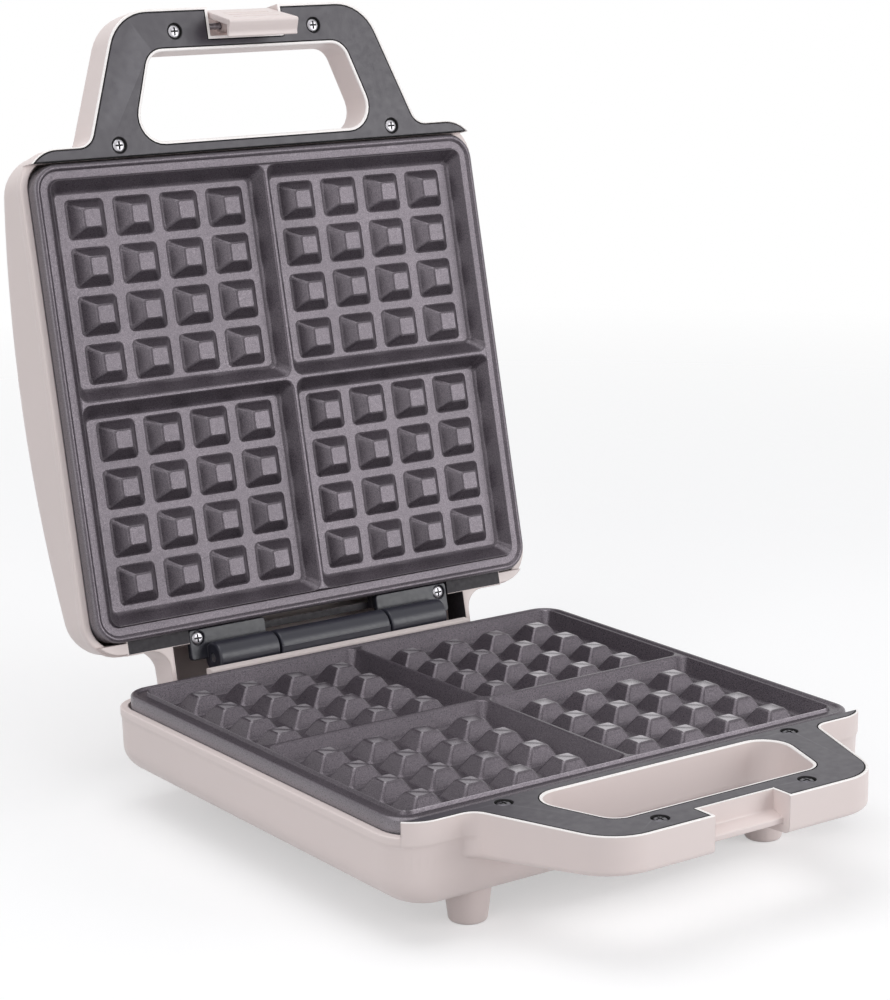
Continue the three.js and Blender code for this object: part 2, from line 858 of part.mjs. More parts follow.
function lidShell() {
  const hollow = cutBy(
    joined(lidOuter(), handleOuter(lidHandleFront), tongueOuter()),
    lidCavity(),
  );
  const withDecks = joined(hollow, frontDeck(), rearDeck(deckHalfWidth, rearDeckLid));
  const cut = cutBy(
    withDecks,
    handleHollow(lidHandleFront),
    coverRecess(lidNotchBack),
    extruded(gripOutline, 0, handleThick + cutOver),
    lidNotch(),
    tongueHollow(),
    ...hingeRoom(),
    ...lampHoles(),
  );
  const seated = joined(
    cut,
    ...screwBosses(lidHandleFront),
    ...platePosts((y) => lidHeightAt(y)),
    ...leafBosses(),
  );
  return cutBy(seated, ...screwBores(), ...leafBores());
}

function stopRib() {
  const rimAngle = -openAngle;
  const reachY = tongueRear - hingeY;
  const reachZ = rearDeckLid - hingeZ;
  const rimY = hingeY + reachY * Math.cos(rimAngle) - reachZ * Math.sin(rimAngle);
  const back = rimY - seatGap;
  return block(-stopHalfWidth, stopHalfWidth, shellBack - rimWidth, back, stopRibTop, stopRibBottom);
}

function baseShell() {
  const hollow = cutBy(joined(baseOuter(), handleOuter(baseHandleFront), stopRib()), baseCavity());
  const withDecks = joined(hollow, frontDeck(), rearDeck(baseRearDeckHalf, partingGap));
  const cut = cutBy(
    withDecks,
    handleHollow(baseHandleFront),
    coverRecess(baseNotchBack),
    extruded(gripOutline, 0, handleThick + cutOver),
    baseNotch(),
    rodAlongY(glandRadius + seatGap, glandX, glandInner - cutOver, shellBack + cutOver, glandDepth),
  );
  const seated = joined(cut, ...screwBosses(baseHandleFront), ...platePosts(() => baseBottom));
  return cutBy(seated, ...screwBores());
}

// Plates

function plateRing(grow, depth) {
  const halfWidth = wellHalfWidth + grow;
  const halfDepth = wellHalfDepth + grow;
  const plan = halfPlan(halfWidth, halfDepth, halfDepth, wellCorner + grow);
  return plan.map(([x, y]) => [x, y, depth]);
}

function plateBlank() {
  const landEnd = crestSlope + landWidth;
  const beadStart = landEnd + beadSlope;
  const beadEnd = beadStart + beadWidth;
  const steps = [
    [0, crestGap],
    [crestSlope, landDepth],
    [landEnd, landDepth],
    [beadStart, beadDepth],
    [beadEnd, beadDepth],
    [plateRim, beadDepth + beadEdge],
    [plateRim, wellFloor + plateFloorThick],
  ];
  return mirroredLoft(steps.map(([grow, depth]) => plateRing(grow, depth)));
}

function taperedBlock(x, y, low, high) {
  const [lowX, lowY, lowZ, lowRadius] = low;
  const [highX, highY, highZ, highRadius] = high;
  const ring = (halfX, halfY, z, radius) =>
    roundedOutline([
      [halfX, -halfY, radius],
      [halfX, halfY, radius],
      [-halfX, halfY, radius],
      [-halfX, -halfY, radius],
    ]).map((point) => [x + point.x, y + point.y, z]);
  const rings = [ring(lowX, lowY, lowZ, lowRadius), ring(highX, highY, highZ, highRadius)];
  const outline = rings[0].map(([px, py]) => new THREE.Vector2(px, py));
  return lofted(rings, THREE.ShapeUtils.triangulateShape(outline, []));
}

function well(side, end) {
  const halfX = (wellHalfWidth - ridgeHalf) / 2;
  const halfY = (wellHalfDepth - ridgeHalf) / 2;
  const slopeX = wellSlopeSide / (wellFloor - crestGap);
  const slopeY = wellSlopeEnd / (wellFloor - crestGap);
  const grow = cutOver;
  const x = side * (ridgeHalf + halfX);
  const y = end * (ridgeHalf + halfY);
  return taperedBlock(
    x, y,
    [halfX + grow * slopeX, halfY + grow * slopeY, crestGap - grow, wellCorner],
    [halfX - wellSlopeSide, halfY - wellSlopeEnd, wellFloor, wellFloorCorner],
  );
}

function peg(x, y) {
  return taperedBlock(
    x, y,
    [pegTopX / 2, pegTopY / 2, crestGap + pegBelowCrest, 0],
    [pegBaseX / 2, pegBaseY / 2, wellFloor + pegRoot, 0],
  );
}

function pegPlaces() {
  const places = [];
  [1, -1].forEach((side) =>
    [1, -1].forEach((end) => {
      for (let column = 0; column < pegsPerRow; column += 1) {
        for (let row = 0; row < pegsPerRow; row += 1) {
          const across = (column - (pegsPerRow - 1) / 2) * pegPitchX;
          const along = (row - (pegsPerRow - 1) / 2) * pegPitchY;
          places.push([side * wellCentreX + across, end * wellCentreY + along]);
        }
      }
    }),
  );
  return places;
}

function wafflePlate() {
  const wells = [well(1, 1), well(1, -1), well(-1, 1), well(-1, -1)];
  const tray = cutBy(plateBlank(), ...wells);
  return joined(tray, ...pegPlaces().map(([x, y]) => peg(x, y)));
}

// Heating

const elementDepth = wellFloor + plateFloorThick + seatGap + elementRadius;
const trayRim = wellFloor + plateFloorThick + seatGap;
const trayFloor = trayRim + trayDepth;

function heatingElement() {
  const tail = trayFloor + trayWall + elementTailLength;
  const corners = [
    [elementTailX, elementHalfDepth, tail],
    [elementTailX, elementHalfDepth, elementDepth],
    [elementHalfWidth, elementHalfDepth, elementDepth],
    [elementHalfWidth, -elementHalfDepth, elementDepth],
    [-elementHalfWidth, -elementHalfDepth, elementDepth],
    [-elementHalfWidth, elementHalfDepth, elementDepth],
    [-elementTailX, elementHalfDepth, elementDepth],
    [-elementTailX, elementHalfDepth, tail],
  ].map((corner) => new THREE.Vector3(...corner));
  const path = new THREE.CurvePath();
  let start = corners[0];
  corners.slice(1, -1).forEach((corner, i) => {
    const before = corners[i];
    const after = corners[i + 2];
    const bend = Math.min(elementBend, (tail - elementDepth) / 2);
    const radius = i === 0 || i === corners.length - 3 ? bend : elementBend;
    const enter = corner.clone().add(before.clone().sub(corner).setLength(radius));
    const leave = corner.clone().add(after.clone().sub(corner).setLength(radius));
    path.add(new THREE.LineCurve3(start, enter));
    path.add(new THREE.QuadraticBezierCurve3(enter, corner, leave));
    start = leave;
  });
  path.add(new THREE.LineCurve3(start, corners[corners.length - 1]));
  const section = new THREE.Shape();
  section.absarc(0, 0, elementRadius, 0, Math.PI * 2);
  return new THREE.ExtrudeGeometry(section, {
    steps: elementSteps,
    curveSegments: elementSides / 2,
    extrudePath: path,
  });
}

function traySolid(shrink, low, high) {
  const halfX = trayHalfWidth - shrink;
  const halfY = trayHalfDepth - shrink;
  const radius = trayCorner - shrink;
  const outline = roundedOutline([
    [halfX, -halfY, radius],
    [halfX, halfY, radius],
    [-halfX, halfY, radius],
    [-halfX, -halfY, radius],
  ]);
  return extruded(outline, low, high);
}

function heatReflector() {
  const tailHoles = [elementTailX, -elementTailX].map((x) =>
    disc(trayHole, x, elementHalfDepth, trayFloor - cutOver, trayFloor + trayWall + cutOver, 16),
  );
  return cutBy(
    traySolid(0, trayRim, trayFloor + trayWall),
    traySolid(trayWall, trayRim - cutOver, trayFloor),
    ...tailHoles,
  );
}

// Small parts in the half frame

// Head towards the parting plane, seated at the given depth.
function crossScrew(x, y, seat) {
  const head = disc(screwHeadRadius, x, y, seat - screwHeadHeight, seat);
  const shank = disc(screwShankRadius, x, y, seat - seatGap, seat + screwLength - seatGap, 8);
  const armLength = screwCrossLength / 2;
  const armWidth = screwCrossWidth / 2;
  const top = seat - screwHeadHeight;
  const cross = [
    block(x - armLength, x + armLength, y - armWidth, y + armWidth, top - cutOver, top + screwCrossDepth),
    block(x - armWidth, x + armWidth, y - armLength, y + armLength, top - cutOver, top + screwCrossDepth),
  ];
  return cutBy(joined(head, shank), ...cross);
}

function coverScrew([x, y]) {
  return crossScrew(x, y, partingGap + screwRecessDepth);
}

function latchBody() {
  const inner = -latchFace + latchThick;
  const hookTop = -shelfUnder - runningGap;
  const hookBottom = hookTop - latchHookThick;
  const profile = roundedOutline([
    [-latchFace + latchTopLean, latchTop, latchThick / 3],
    [-latchFace, latchPivotZ, 0],
    [-latchFace, hookBottom, latchHookCorner],
    [-latchHookTip, hookBottom, latchThick / 3],
    [-latchHookTip, hookTop - latchHookRise, latchThick / 4],
    [inner, hookTop, 0],
    [inner, latchPivotZ, 0],
    [inner + latchTopLean, latchTop, latchThick / 3],
  ]);
  const plate = extrudedAlongX(profile, -latchHalf, latchHalf);
  const boss = rodAlongX(latchBossRadius, -latchBossHalf, latchBossHalf, -latchPivotY, latchPivotZ);
  const neck = block(
    -latchBossHalf, latchBossHalf,
    inner - latchThick / 2, -latchPivotY,
    latchPivotZ - latchBossRadius, latchPivotZ + latchBossRadius,
  );
  const bore = rodAlongX(
    latchPinRadius + runningGap,
    -latchHalf - cutOver, latchHalf + cutOver,
    -latchPivotY, latchPivotZ, 16,
  );
  return cutBy(joined(plate, boss, neck), bore, ...latchGripGrooves());
}

function latchGripGrooves() {
  const grooves = [];
  for (let k = 0; k < latchGrooves; k += 1) {
    const middle = -latchGroovePitch * k;
    grooves.push(
      block(
        -latchGrooveHalf, latchGrooveHalf,
        -latchFace - cutOver, -latchFace + latchGrooveDepth,
        middle - latchGrooveWidth / 2, middle + latchGrooveWidth / 2,
      ),
    );
  }
  return grooves;
}

function latchPin() {
  const reach = notchHalf + latchPinSocket - seatGap;
  return rodAlongX(latchPinRadius, -reach, reach, -latchPivotY, latchPivotZ, 16);
}

function latchSpring() {
  const start = latchBossHalf + seatGap + latchSpringWire;
  const count = latchSpringTurns * latchSpringSteps;
  const points = [];
  for (let k = 0; k <= count; k += 1) {
    const angle = (k / latchSpringSteps) * Math.PI * 2;
    points.push(
      new THREE.Vector3(
        start + (latchSpringPitch * k) / latchSpringSteps,
        -latchPivotY + latchSpringRadius * Math.cos(angle),
        latchPivotZ + latchSpringRadius * Math.sin(angle),
      ),
    );
  }
  const wire = new THREE.Shape();
  wire.absarc(0, 0, latchSpringWire, 0, Math.PI * 2);
  return new THREE.ExtrudeGeometry(wire, {
    steps: count,
    curveSegments: 2,
    extrudePath: new THREE.CatmullRomCurve3(points),
  });
}

// Hinge

function baseKnuckle() {
  const barrel = rodAlongX(barrelRadius, -centreKnuckleHalf, centreKnuckleHalf, hingeY, hingeZ, 24);
  const web = block(
    -centreKnuckleHalf, centreKnuckleHalf,
    shellBack + seatGap, hingeY,
    -knuckleWebDepth, knuckleWebTop,
  );
  const bore = rodAlongX(
    hingePinRadius + runningGap,
    -centreKnuckleHalf - cutOver, centreKnuckleHalf + cutOver,
    hingeY, hingeZ, 16,
  );
  return cutBy(joined(barrel, web), bore);
}

function lidLeaf(side) {
  const inner = centreKnuckleHalf + knuckleGap;
  const low = Math.min(side * inner, side * sideKnuckleOuter);
  const high = Math.max(side * inner, side * sideKnuckleOuter);
  const barrel = rodAlongX(barrelRadius, low, high, hingeY, hingeZ, 24);
  const leafLow = Math.min(side * inner, side * leafOuter);
  const leafHigh = Math.max(side * inner, side * leafOuter);
  const leaf = block(leafLow, leafHigh, leafFront, hingeY, leafFace, leafFace + leafThick);
  const bore = rodAlongX(
    hingePinRadius + runningGap,
    low - cutOver, high + cutOver,
    hingeY, hingeZ, 16,
  );
  const screwX = side * leafScrewX;
  const holeEnd = leafFace + leafThick + cutOver;
  const screwHole = disc(screwShankRadius + runningGap, screwX, leafScrewY, leafFace, holeEnd, 8);
  const seatDepth = leafFace + screwRecessDepth;
  const screwSeat = disc(leafRecessRadius, screwX, leafScrewY, leafFace - cutOver, seatDepth);
  return cutBy(joined(barrel, leaf), bore, screwHole, screwSeat);
}

// Feet, gland and electrics, in the base's own orientation

function foot() {
  const profile = [
    [0, 0],
    [footBottomRadius - footEdge, 0],
    [footBottomRadius, footEdge],
    [footTopRadius, footHeight - seatGap],
    [0, footHeight - seatGap],
  ].map(([r, z]) => new THREE.Vector2(r, z));
  return new THREE.LatheGeometry(profile, 18).rotateX(Math.PI / 2);
}

function thermostat() {
  const bodyTop = -trayFloor - trayWall - seatGap - thermostatPlateThick;
  const body = disc(thermostatRadius, thermostatX, thermostatY, bodyTop - thermostatHeight, bodyTop);
  const plate = block(
    thermostatX - thermostatPlateX, thermostatX + thermostatPlateX,
    thermostatY - thermostatPlateY, thermostatY + thermostatPlateY,
    bodyTop - seatGap, bodyTop + thermostatPlateThick,
  );
  return joined(body, plate);
}

function thermalFuse() {
  const axis = -trayFloor - trayWall - seatGap - fuseRadius;
  return rodAlongY(fuseRadius, fuseX, -fuseLength / 2, fuseLength / 2, axis, 12);
}

function terminalBlock() {
  const floor = -baseBottom + shellWall + seatGap;
  const body = block(
    terminalX - terminalWidth / 2, terminalX + terminalWidth / 2,
    terminalY - terminalDepth / 2, terminalY + terminalDepth / 2,
    floor, floor + terminalHeight,
  );
  const holes = [terminalHoleX, -terminalHoleX].map((x) =>
    rodAlongY(
      terminalHoleRadius, terminalX + x,
      terminalY - terminalDepth / 2 - cutOver, terminalY + terminalDepth / 2 + cutOver,
      floor + terminalHeight / 2, 12,
    ),
  );
  return cutBy(body, ...holes);
}

function cordGland() {
  const seat = shellBack - lipStep + seatGap;
  const flange = rodAlongY(glandFlangeRadius, glandX, seat, seat + glandFlangeThick, -glandDepth);
  const body = rodAlongY(glandRadius, glandX, glandInner, seat + seatGap, -glandDepth);
  const boreEnd = seat + glandFlangeThick + cutOver;
  const bore = rodAlongY(glandBore, glandX, glandInner - cutOver, boreEnd, -glandDepth, 12);
  return cutBy(joined(flange, body), bore);
}

// Indicator lamps

function lampLens(x) {
  const seat = lidHeightAt(lampY - lensRimRadius);
  const profile = [
    [0, -lensStem],
    [lensRadius, -lensStem],
    [lensRadius, seatGap],
    [lensRimRadius, seatGap],
    [lensRimRadius, seatGap + lensRimThick],
    [lensRadius, seatGap + lensRimThick + lensDome / 2],
    [0, seatGap + lensRimThick + lensDome],
  ].map(([r, z]) => new THREE.Vector2(r, z));
  return new THREE.LatheGeometry(profile, 12).rotateX(Math.PI / 2).translate(x, -lampY, seat);
}

function lampBulb(x) {
  const top = lidHeightAt(lampY - lensRimRadius) - lensStem - seatGap;
  return disc(lampRadius, x, -lampY, top - lampLength, top, 12);
}

// Assembly

function named(name, geometry, finish) {
  const mesh = new THREE.Mesh(geometry, new THREE.MeshStandardMaterial(finish));
  mesh.name = name;
  return mesh;
}

const sides = { right: 1, left: -1 };
const ends = { front: -1, rear: 1 };
const screwNames = ["rear_right", "rear_left", "front_right", "front_left"];

function baseParts() {
  const base = new THREE.Group();
  base.add(named("base_shell", mirroredInZ(baseShell()), blushShell));
  base.add(named("lower_handle_cover", mirroredInZ(handleCover(baseNotchBack)), charcoalCover));
  base.add(named("lower_plate", mirroredInZ(wafflePlate()), nonStickPlate));
  base.add(named("lower_heating_element", mirroredInZ(heatingElement()), steelFinish));
  base.add(named("lower_heat_reflector", mirroredInZ(heatReflector()), steelFinish));
  coverScrewPlaces.forEach((place, i) => {
    base.add(named(`lower_cover_screw_${screwNames[i]}`, mirroredInZ(coverScrew(place)), blackScrew));
  });
  base.add(named("base_hinge_knuckle", baseKnuckle(), darkHinge));
  base.add(named("thermostat", thermostat(), steelFinish));
  base.add(named("thermal_fuse", thermalFuse(), steelFinish));
  base.add(named("terminal_block", terminalBlock(), ceramicFinish));
  base.add(named("cord_gland", cordGland(), rubberFinish));
  Object.entries(ends).forEach(([endName, end]) => {
    Object.entries(sides).forEach(([sideName, side]) => {
      const mesh = named(`foot_${endName}_${sideName}`, foot(), blushShell);
      mesh.position.set(side * footX, end * footY, -baseBottom - footHeight);
      base.add(mesh);
    });
  });
  return base;
}

// The latch swings inwards on its spring while the lid is open.
function latchParts() {
  const swing = new THREE.Group();
  swing.position.set(0, -latchPivotY, latchPivotZ);
  swing.quaternion.setFromAxisAngle(latchTwistAxis, latchFreeSwing);
  const inner = new THREE.Group();
  inner.position.set(0, latchPivotY, -latchPivotZ);
  inner.add(named("latch", latchBody(), blushShell));
  inner.add(named("latch_pin", latchPin(), steelFinish));
  inner.add(named("latch_spring", latchSpring(), steelFinish));
  swing.add(inner);
  return swing;
}

function lidParts() {
  const lid = new THREE.Group();
  lid.add(named("lid_shell", lidShell(), blushShell));
  lid.add(named("upper_handle_cover", handleCover(lidNotchBack), charcoalCover));
  lid.add(named("upper_plate", wafflePlate(), nonStickPlate));
  lid.add(named("upper_heating_element", heatingElement(), steelFinish));
  lid.add(named("upper_heat_reflector", heatReflector(), steelFinish));
  coverScrewPlaces.forEach((place, i) => {
    lid.add(named(`upper_cover_screw_${screwNames[i]}`, coverScrew(place), blackScrew));
  });
  Object.entries(sides).forEach(([sideName, side]) => {
    lid.add(named(`lid_hinge_leaf_${sideName}`, lidLeaf(side), darkHinge));
    const screw = crossScrew(side * leafScrewX, leafScrewY, leafFace + screwRecessDepth);
    lid.add(named(`leaf_screw_${sideName}`, screw, blackScrew));
  });
  const pinReach = sideKnuckleOuter - seatGap;
  const pin = rodAlongX(hingePinRadius, -pinReach, pinReach, hingeY, hingeZ);
  lid.add(named("hinge_pin", pin, steelFinish));
  lid.add(named("indicator_lens_red", lampLens(-lampX), redLens));
  lid.add(named("indicator_lens_green", lampLens(lampX), greenLens));
  lid.add(named("indicator_lamp_red", lampBulb(-lampX), lampGlass));
  lid.add(named("indicator_lamp_green", lampBulb(lampX), lampGlass));
  lid.add(latchParts());
  return lid;
}

function openedLid() {
  const turned = new THREE.Group();
  turned.position.set(0, hingeY, hingeZ);
  turned.rotation.x = -openAngle;
  const lid = lidParts();
  lid.position.set(0, -hingeY, -hingeZ);
  turned.add(lid);
  return turned;
}

// The whole part stands on its feet, with the origin at the bottom centre of its box.
const waffleMaker = new THREE.Group();
waffleMaker.name = "waffle_maker";
waffleMaker.add(baseParts(), openedLid());
waffleMaker.updateMatrixWorld(true);
const reach = new THREE.Box3().setFromObject(waffleMaker, true);
waffleMaker.position.set(0, -(reach.min.y + reach.max.y) / 2, -reach.min.z);

export default waffleMaker;
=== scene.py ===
"""Looks of the belgian waffle maker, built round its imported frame.

Shapes are drawn in a half frame in millimetres, as on the part: origin in the middle of the plates on the
parting plane, +Z away from it, handle towards -Y. to_base, to_lid and to_latch carry them to the row frame.
"""

import json
import math

import bmesh
import bpy
import numpy as np
from mathutils import Matrix, Vector

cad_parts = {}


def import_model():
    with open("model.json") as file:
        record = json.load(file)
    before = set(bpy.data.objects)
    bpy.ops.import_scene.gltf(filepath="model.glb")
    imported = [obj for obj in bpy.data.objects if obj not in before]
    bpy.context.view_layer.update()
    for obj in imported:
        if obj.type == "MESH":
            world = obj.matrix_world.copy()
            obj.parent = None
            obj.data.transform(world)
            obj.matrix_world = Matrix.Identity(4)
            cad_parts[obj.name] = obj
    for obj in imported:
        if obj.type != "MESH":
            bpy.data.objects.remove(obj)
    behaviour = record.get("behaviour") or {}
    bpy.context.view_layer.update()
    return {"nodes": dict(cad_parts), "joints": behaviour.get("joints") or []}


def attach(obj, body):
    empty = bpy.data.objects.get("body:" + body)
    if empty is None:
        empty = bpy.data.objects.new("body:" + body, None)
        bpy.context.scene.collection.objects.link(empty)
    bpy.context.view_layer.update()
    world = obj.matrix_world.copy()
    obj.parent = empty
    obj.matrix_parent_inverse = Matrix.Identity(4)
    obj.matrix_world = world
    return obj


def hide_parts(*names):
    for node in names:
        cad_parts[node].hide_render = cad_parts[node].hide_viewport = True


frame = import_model()
nodes = frame["nodes"]
joints = {joint["name"]: joint for joint in frame["joints"]}

ARC = 8
MM = 0.001

# Places of the halves
OPEN = math.radians(102.56)
HINGE_Y, HINGE_Z = 120.3, 0.75
PIVOT_Y, PIVOT_Z = -164.0, 8.0
LATCH_SWING = math.radians(20)
hinge_at = joints["lid_hinge"]["pos_m"]
SHIFT_Y = hinge_at[1] / MM - HINGE_Y
SHIFT_Z = hinge_at[2] / MM - HINGE_Z


def turned(v, angle, y, z):
    c, s = math.cos(angle), math.sin(angle)
    out = v.copy()
    out[:, 1] = y + (v[:, 1] - y) * c - (v[:, 2] - z) * s
    out[:, 2] = z + (v[:, 1] - y) * s + (v[:, 2] - z) * c
    return out


def to_base(v):
    """Mirrors a half downwards, so its faces have to be flipped."""
    out = v * (1, 1, -1)
    return (out + (0, SHIFT_Y, SHIFT_Z)) * MM


def to_base_upright(v):
    """For pieces of the base that are drawn upright, +Z up."""
    return (v + (0, SHIFT_Y, SHIFT_Z)) * MM


def to_lid(v):
    return (turned(v, -OPEN, HINGE_Y, HINGE_Z) + (0, SHIFT_Y, SHIFT_Z)) * MM


def to_latch(v):
    return to_lid(turned(v, LATCH_SWING, PIVOT_Y, PIVOT_Z))


# Outlines and lofts


def rounded_outline(corners, steps=ARC):
    points = []
    count = len(corners)
    for i, (x, y, radius) in enumerate(corners):
        corner = np.array([x, y], float)
        if radius == 0:
            points.append(corner)
            continue
        back = np.array(corners[i - 1][:2], float) - corner
        ahead = np.array(corners[(i + 1) % count][:2], float) - corner
        back /= np.linalg.norm(back)
        ahead /= np.linalg.norm(ahead)
        half = math.acos(max(-1.0, min(1.0, float(back @ ahead)))) / 2
        middle = (back + ahead) / np.linalg.norm(back + ahead)
        centre = corner + middle * radius / math.sin(half)
        start = corner + back * radius / math.tan(half) - centre
        end = corner + ahead * radius / math.tan(half) - centre
        sweep = math.atan2(start[0] * end[1] - start[1] * end[0], float(start @ end))
        for k in range(steps + 1):
            a = sweep * k / steps
            c, s = math.cos(a), math.sin(a)
            points.append(centre + (start[0] * c - start[1] * s, start[0] * s + start[1] * c))
    return np.array(points)


def mirrored_outline(right_corners, steps=ARC):
    left = [(-x, y, r) for x, y, r in reversed(right_corners)]
    return rounded_outline([*right_corners, *left], steps)


def offset_outline(outline, distance):
    before = np.roll(outline, 1, axis=0)
    after = np.roll(outline, -1, axis=0)
    inward = outline - before
    onward = after - outline
    inward /= np.linalg.norm(inward, axis=1)[:, None]
    onward /= np.linalg.norm(onward, axis=1)[:, None]
    normal_in = np.stack([inward[:, 1], -inward[:, 0]], 1)
    normal_on = np.stack([onward[:, 1], -onward[:, 0]], 1)
    middle = normal_in + normal_on
    middle /= np.linalg.norm(middle, axis=1)[:, None]
    return outline + middle * (distance / (middle * normal_in).sum(1))[:, None]


def rounded_rectangle(half_x, half_y, radius, steps=ARC, x=0.0, y=0.0):
    corners = [(half_x, -half_y, radius), (half_x, half_y, radius),
               (-half_x, half_y, radius), (-half_x, -half_y, radius)]
    return rounded_outline(corners, steps) + (x, y)


def loft(rings, caps="fan"):
    """Closed skin through rings that go upwards, each anticlockwise from above."""
    rings = [np.asarray(r, float) for r in rings]
    n = len(rings[0])
    faces = []
    for r in range(len(rings) - 1):
        low, high = r * n, (r + 1) * n
        for i in range(n):
            j = (i + 1) % n
            faces.append((low + i, low + j, high + j, high + i))
    top = (len(rings) - 1) * n
    if caps == "fan":
        faces.append(tuple(range(n - 1, -1, -1)))
        faces.append(tuple(range(top, top + n)))
    else:
        for i in range(n // 2 - 1):
            left = n - 1 - i
            faces.append((left, left - 1, i + 1, i))
            faces.append((top + i, top + i + 1, top + left - 1, top + left))
    return np.concatenate(rings), faces


def stepped(outline, steps, caps="fan"):
    """Rings from one outline, stepped by (offset, z)."""
    rings = []
    for offset, z in steps:
        flat = offset_outline(outline, offset)
        rings.append(np.column_stack([flat, np.full(len(flat), z)]))
    return loft(rings, caps)


def along_x(solid):
    """A solid drawn with its outline in (y, z) and its steps along x."""
    v, faces = solid
    return v[:, [2, 0, 1]], faces


def along_y(solid):
    """A solid drawn with its outline in (x, z) and its steps along -y."""
    v, faces = solid
    return np.column_stack([v[:, 0], -v[:, 2], v[:, 1]]), faces


def turned_over(solid):
    """A solid drawn with its outline in (x, -z) and its steps along -y."""
    v, faces = solid
    return np.column_stack([v[:, 0], -v[:, 2], -v[:, 1]]), [tuple(reversed(face)) for face in faces]


def moved(solid, x=0.0, y=0.0, z=0.0):
    v, faces = solid
    return v + (x, y, z), faces


def together(solids):
    verts, faces, base = [], [], 0
    for v, f in solids:
        verts.append(v)
        faces.extend(tuple(i + base for i in face) for face in f)
        base += len(v)
    return np.concatenate(verts), faces


def block(x0, x1, y0, y1, z0, z1):
    outline = np.array([(x0, y0), (x1, y0), (x1, y1), (x0, y1)], float)
    return stepped(outline, [(0, z0), (0, z1)])


def soft_block(x0, x1, y0, y1, z0, z1, radius=0.6, corner=1.0):
    outline = rounded_rectangle((x1 - x0) / 2, (y1 - y0) / 2, corner, 4, (x0 + x1) / 2, (y0 + y1) / 2)
    return stepped(outline, soft_steps(z0, z1, radius, radius))


def quarter(count, first=0):
    """Angles of a quarter turn in equal steps."""
    return [math.pi / 2 * k / count for k in range(first, count + 1)]


def arc(radius, count=5):
    """Quarter arc as (inset, rise) pairs, from (radius, 0) to (0, radius)."""
    return [(radius * (1 - math.sin(a)), radius * (1 - math.cos(a))) for a in quarter(count)]


def soft_steps(low, high, radius_low, radius_high, count=4):
    """Steps of a slab whose two rims are rounded."""
    lower, upper = [(0, low)], [(0, high)]
    if radius_low:
        lower = [(-inset, low + rise) for inset, rise in arc(radius_low, count)]
    if radius_high:
        upper = [(-inset, high - rise) for inset, rise in reversed(arc(radius_high, count))]
    return lower + upper


def flared(low, high, radius_low, radius_high, over=1.0, count=4):
    """Steps of a cutter whose ends flare, so that the rims it leaves are rounded."""
    steps = []
    if radius_low:
        steps.append((radius_low, low - over))
        steps += [(radius_low - radius_low * math.sin(a), low + radius_low * (1 - math.cos(a)))
                  for a in quarter(count)]
    else:
        steps.append((0, low - over))
    if radius_high:
        steps += [(radius_high * (1 - math.cos(a)), high - radius_high * (1 - math.sin(a)))
                  for a in quarter(count)]
        steps.append((radius_high, high + over))
    else:
        steps.append((0, high + over))
    return steps


def circle(radius, x=0.0, y=0.0, sides=40):
    a = np.linspace(0, 2 * math.pi, sides, endpoint=False)
    return np.column_stack([x + radius * np.cos(a), y + radius * np.sin(a)])


def lathe(profile, sides=48):
    """profile is (radius, z) upwards, both ends closed by a flat cap."""
    rings = [np.column_stack([circle(max(r, 0.01), sides=sides), np.full(sides, z)]) for r, z in profile]
    return loft(rings)


# Meshes


def mesh_of(name, solid):
    v, faces = solid
    mesh = bpy.data.meshes.new(name)
    mesh.from_pydata([tuple(p) for p in v], [], faces)
    mesh.validate()
    mesh.update()
    obj = bpy.data.objects.new(name, mesh)
    bpy.context.scene.collection.objects.link(obj)
    return obj


def combine(obj, others, operation):
    """Boolean with each of the others in turn, applied, and the others removed."""
    for other in others:
        cutter = mesh_of("cutter", other)
        modifier = obj.modifiers.new("cut", "BOOLEAN")
        modifier.operation = operation
        modifier.object = cutter
        modifier.solver = "MANIFOLD"
        depsgraph = bpy.context.evaluated_depsgraph_get()
        made = bpy.data.meshes.new_from_object(obj.evaluated_get(depsgraph))
        obj.modifiers.remove(modifier)
        old = obj.data
        obj.data = made
        bpy.data.meshes.remove(old)
        spare = cutter.data
        bpy.data.objects.remove(cutter)
        bpy.data.meshes.remove(spare)
    return obj


def cut(obj, *others):
    return combine(obj, others, "DIFFERENCE")


def join(obj, *others):
    return combine(obj, others, "UNION")


def piece(obj, name, place, body, material, replaces=(), angle=32.0, accents=()):
    """Carries the finished mesh to its place, gives it its body and finish, and hides the parts it replaces.

    Edges sharper than angle (degrees) stay hard. Each accent is a finish and a test of a face's
    middle (x, y, z) in the half frame.
    """
    mesh = obj.data
    middles = [tuple(face.center) for face in mesh.polygons]
    v = np.zeros(len(mesh.vertices) * 3)
    mesh.vertices.foreach_get("co", v)
    mesh.vertices.foreach_set("co", place(v.reshape(-1, 3)).ravel())
    if place is to_base:
        mesh.flip_normals()
    mesh.update()
    obj.name = name
    mesh.name = name
    mesh.shade_smooth()
    mesh.set_sharp_from_angle(angle=math.radians(angle))
    weighted = obj.modifiers.new("even_normals", "WEIGHTED_NORMAL")
    weighted.keep_sharp = True
    weighted.weight = 60
    mesh.materials.clear()
    mesh.materials.append(material)
    for index, (accent, test) in enumerate(accents, 1):
        mesh.materials.append(accent)
        for face, middle in zip(mesh.polygons, middles):
            if test(*middle):
                face.material_index = index
    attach(obj, body)
    if replaces:
        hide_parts(*replaces)
    return obj


# Finishes


def linear(r, g, b):
    """A screen colour of 0 to 255 as a linear one."""
    parts = [((c / 255 + 0.055) / 1.055) ** 2.4 if c > 10 else c / 255 / 12.92 for c in (r, g, b)]
    return (*parts, 1.0)


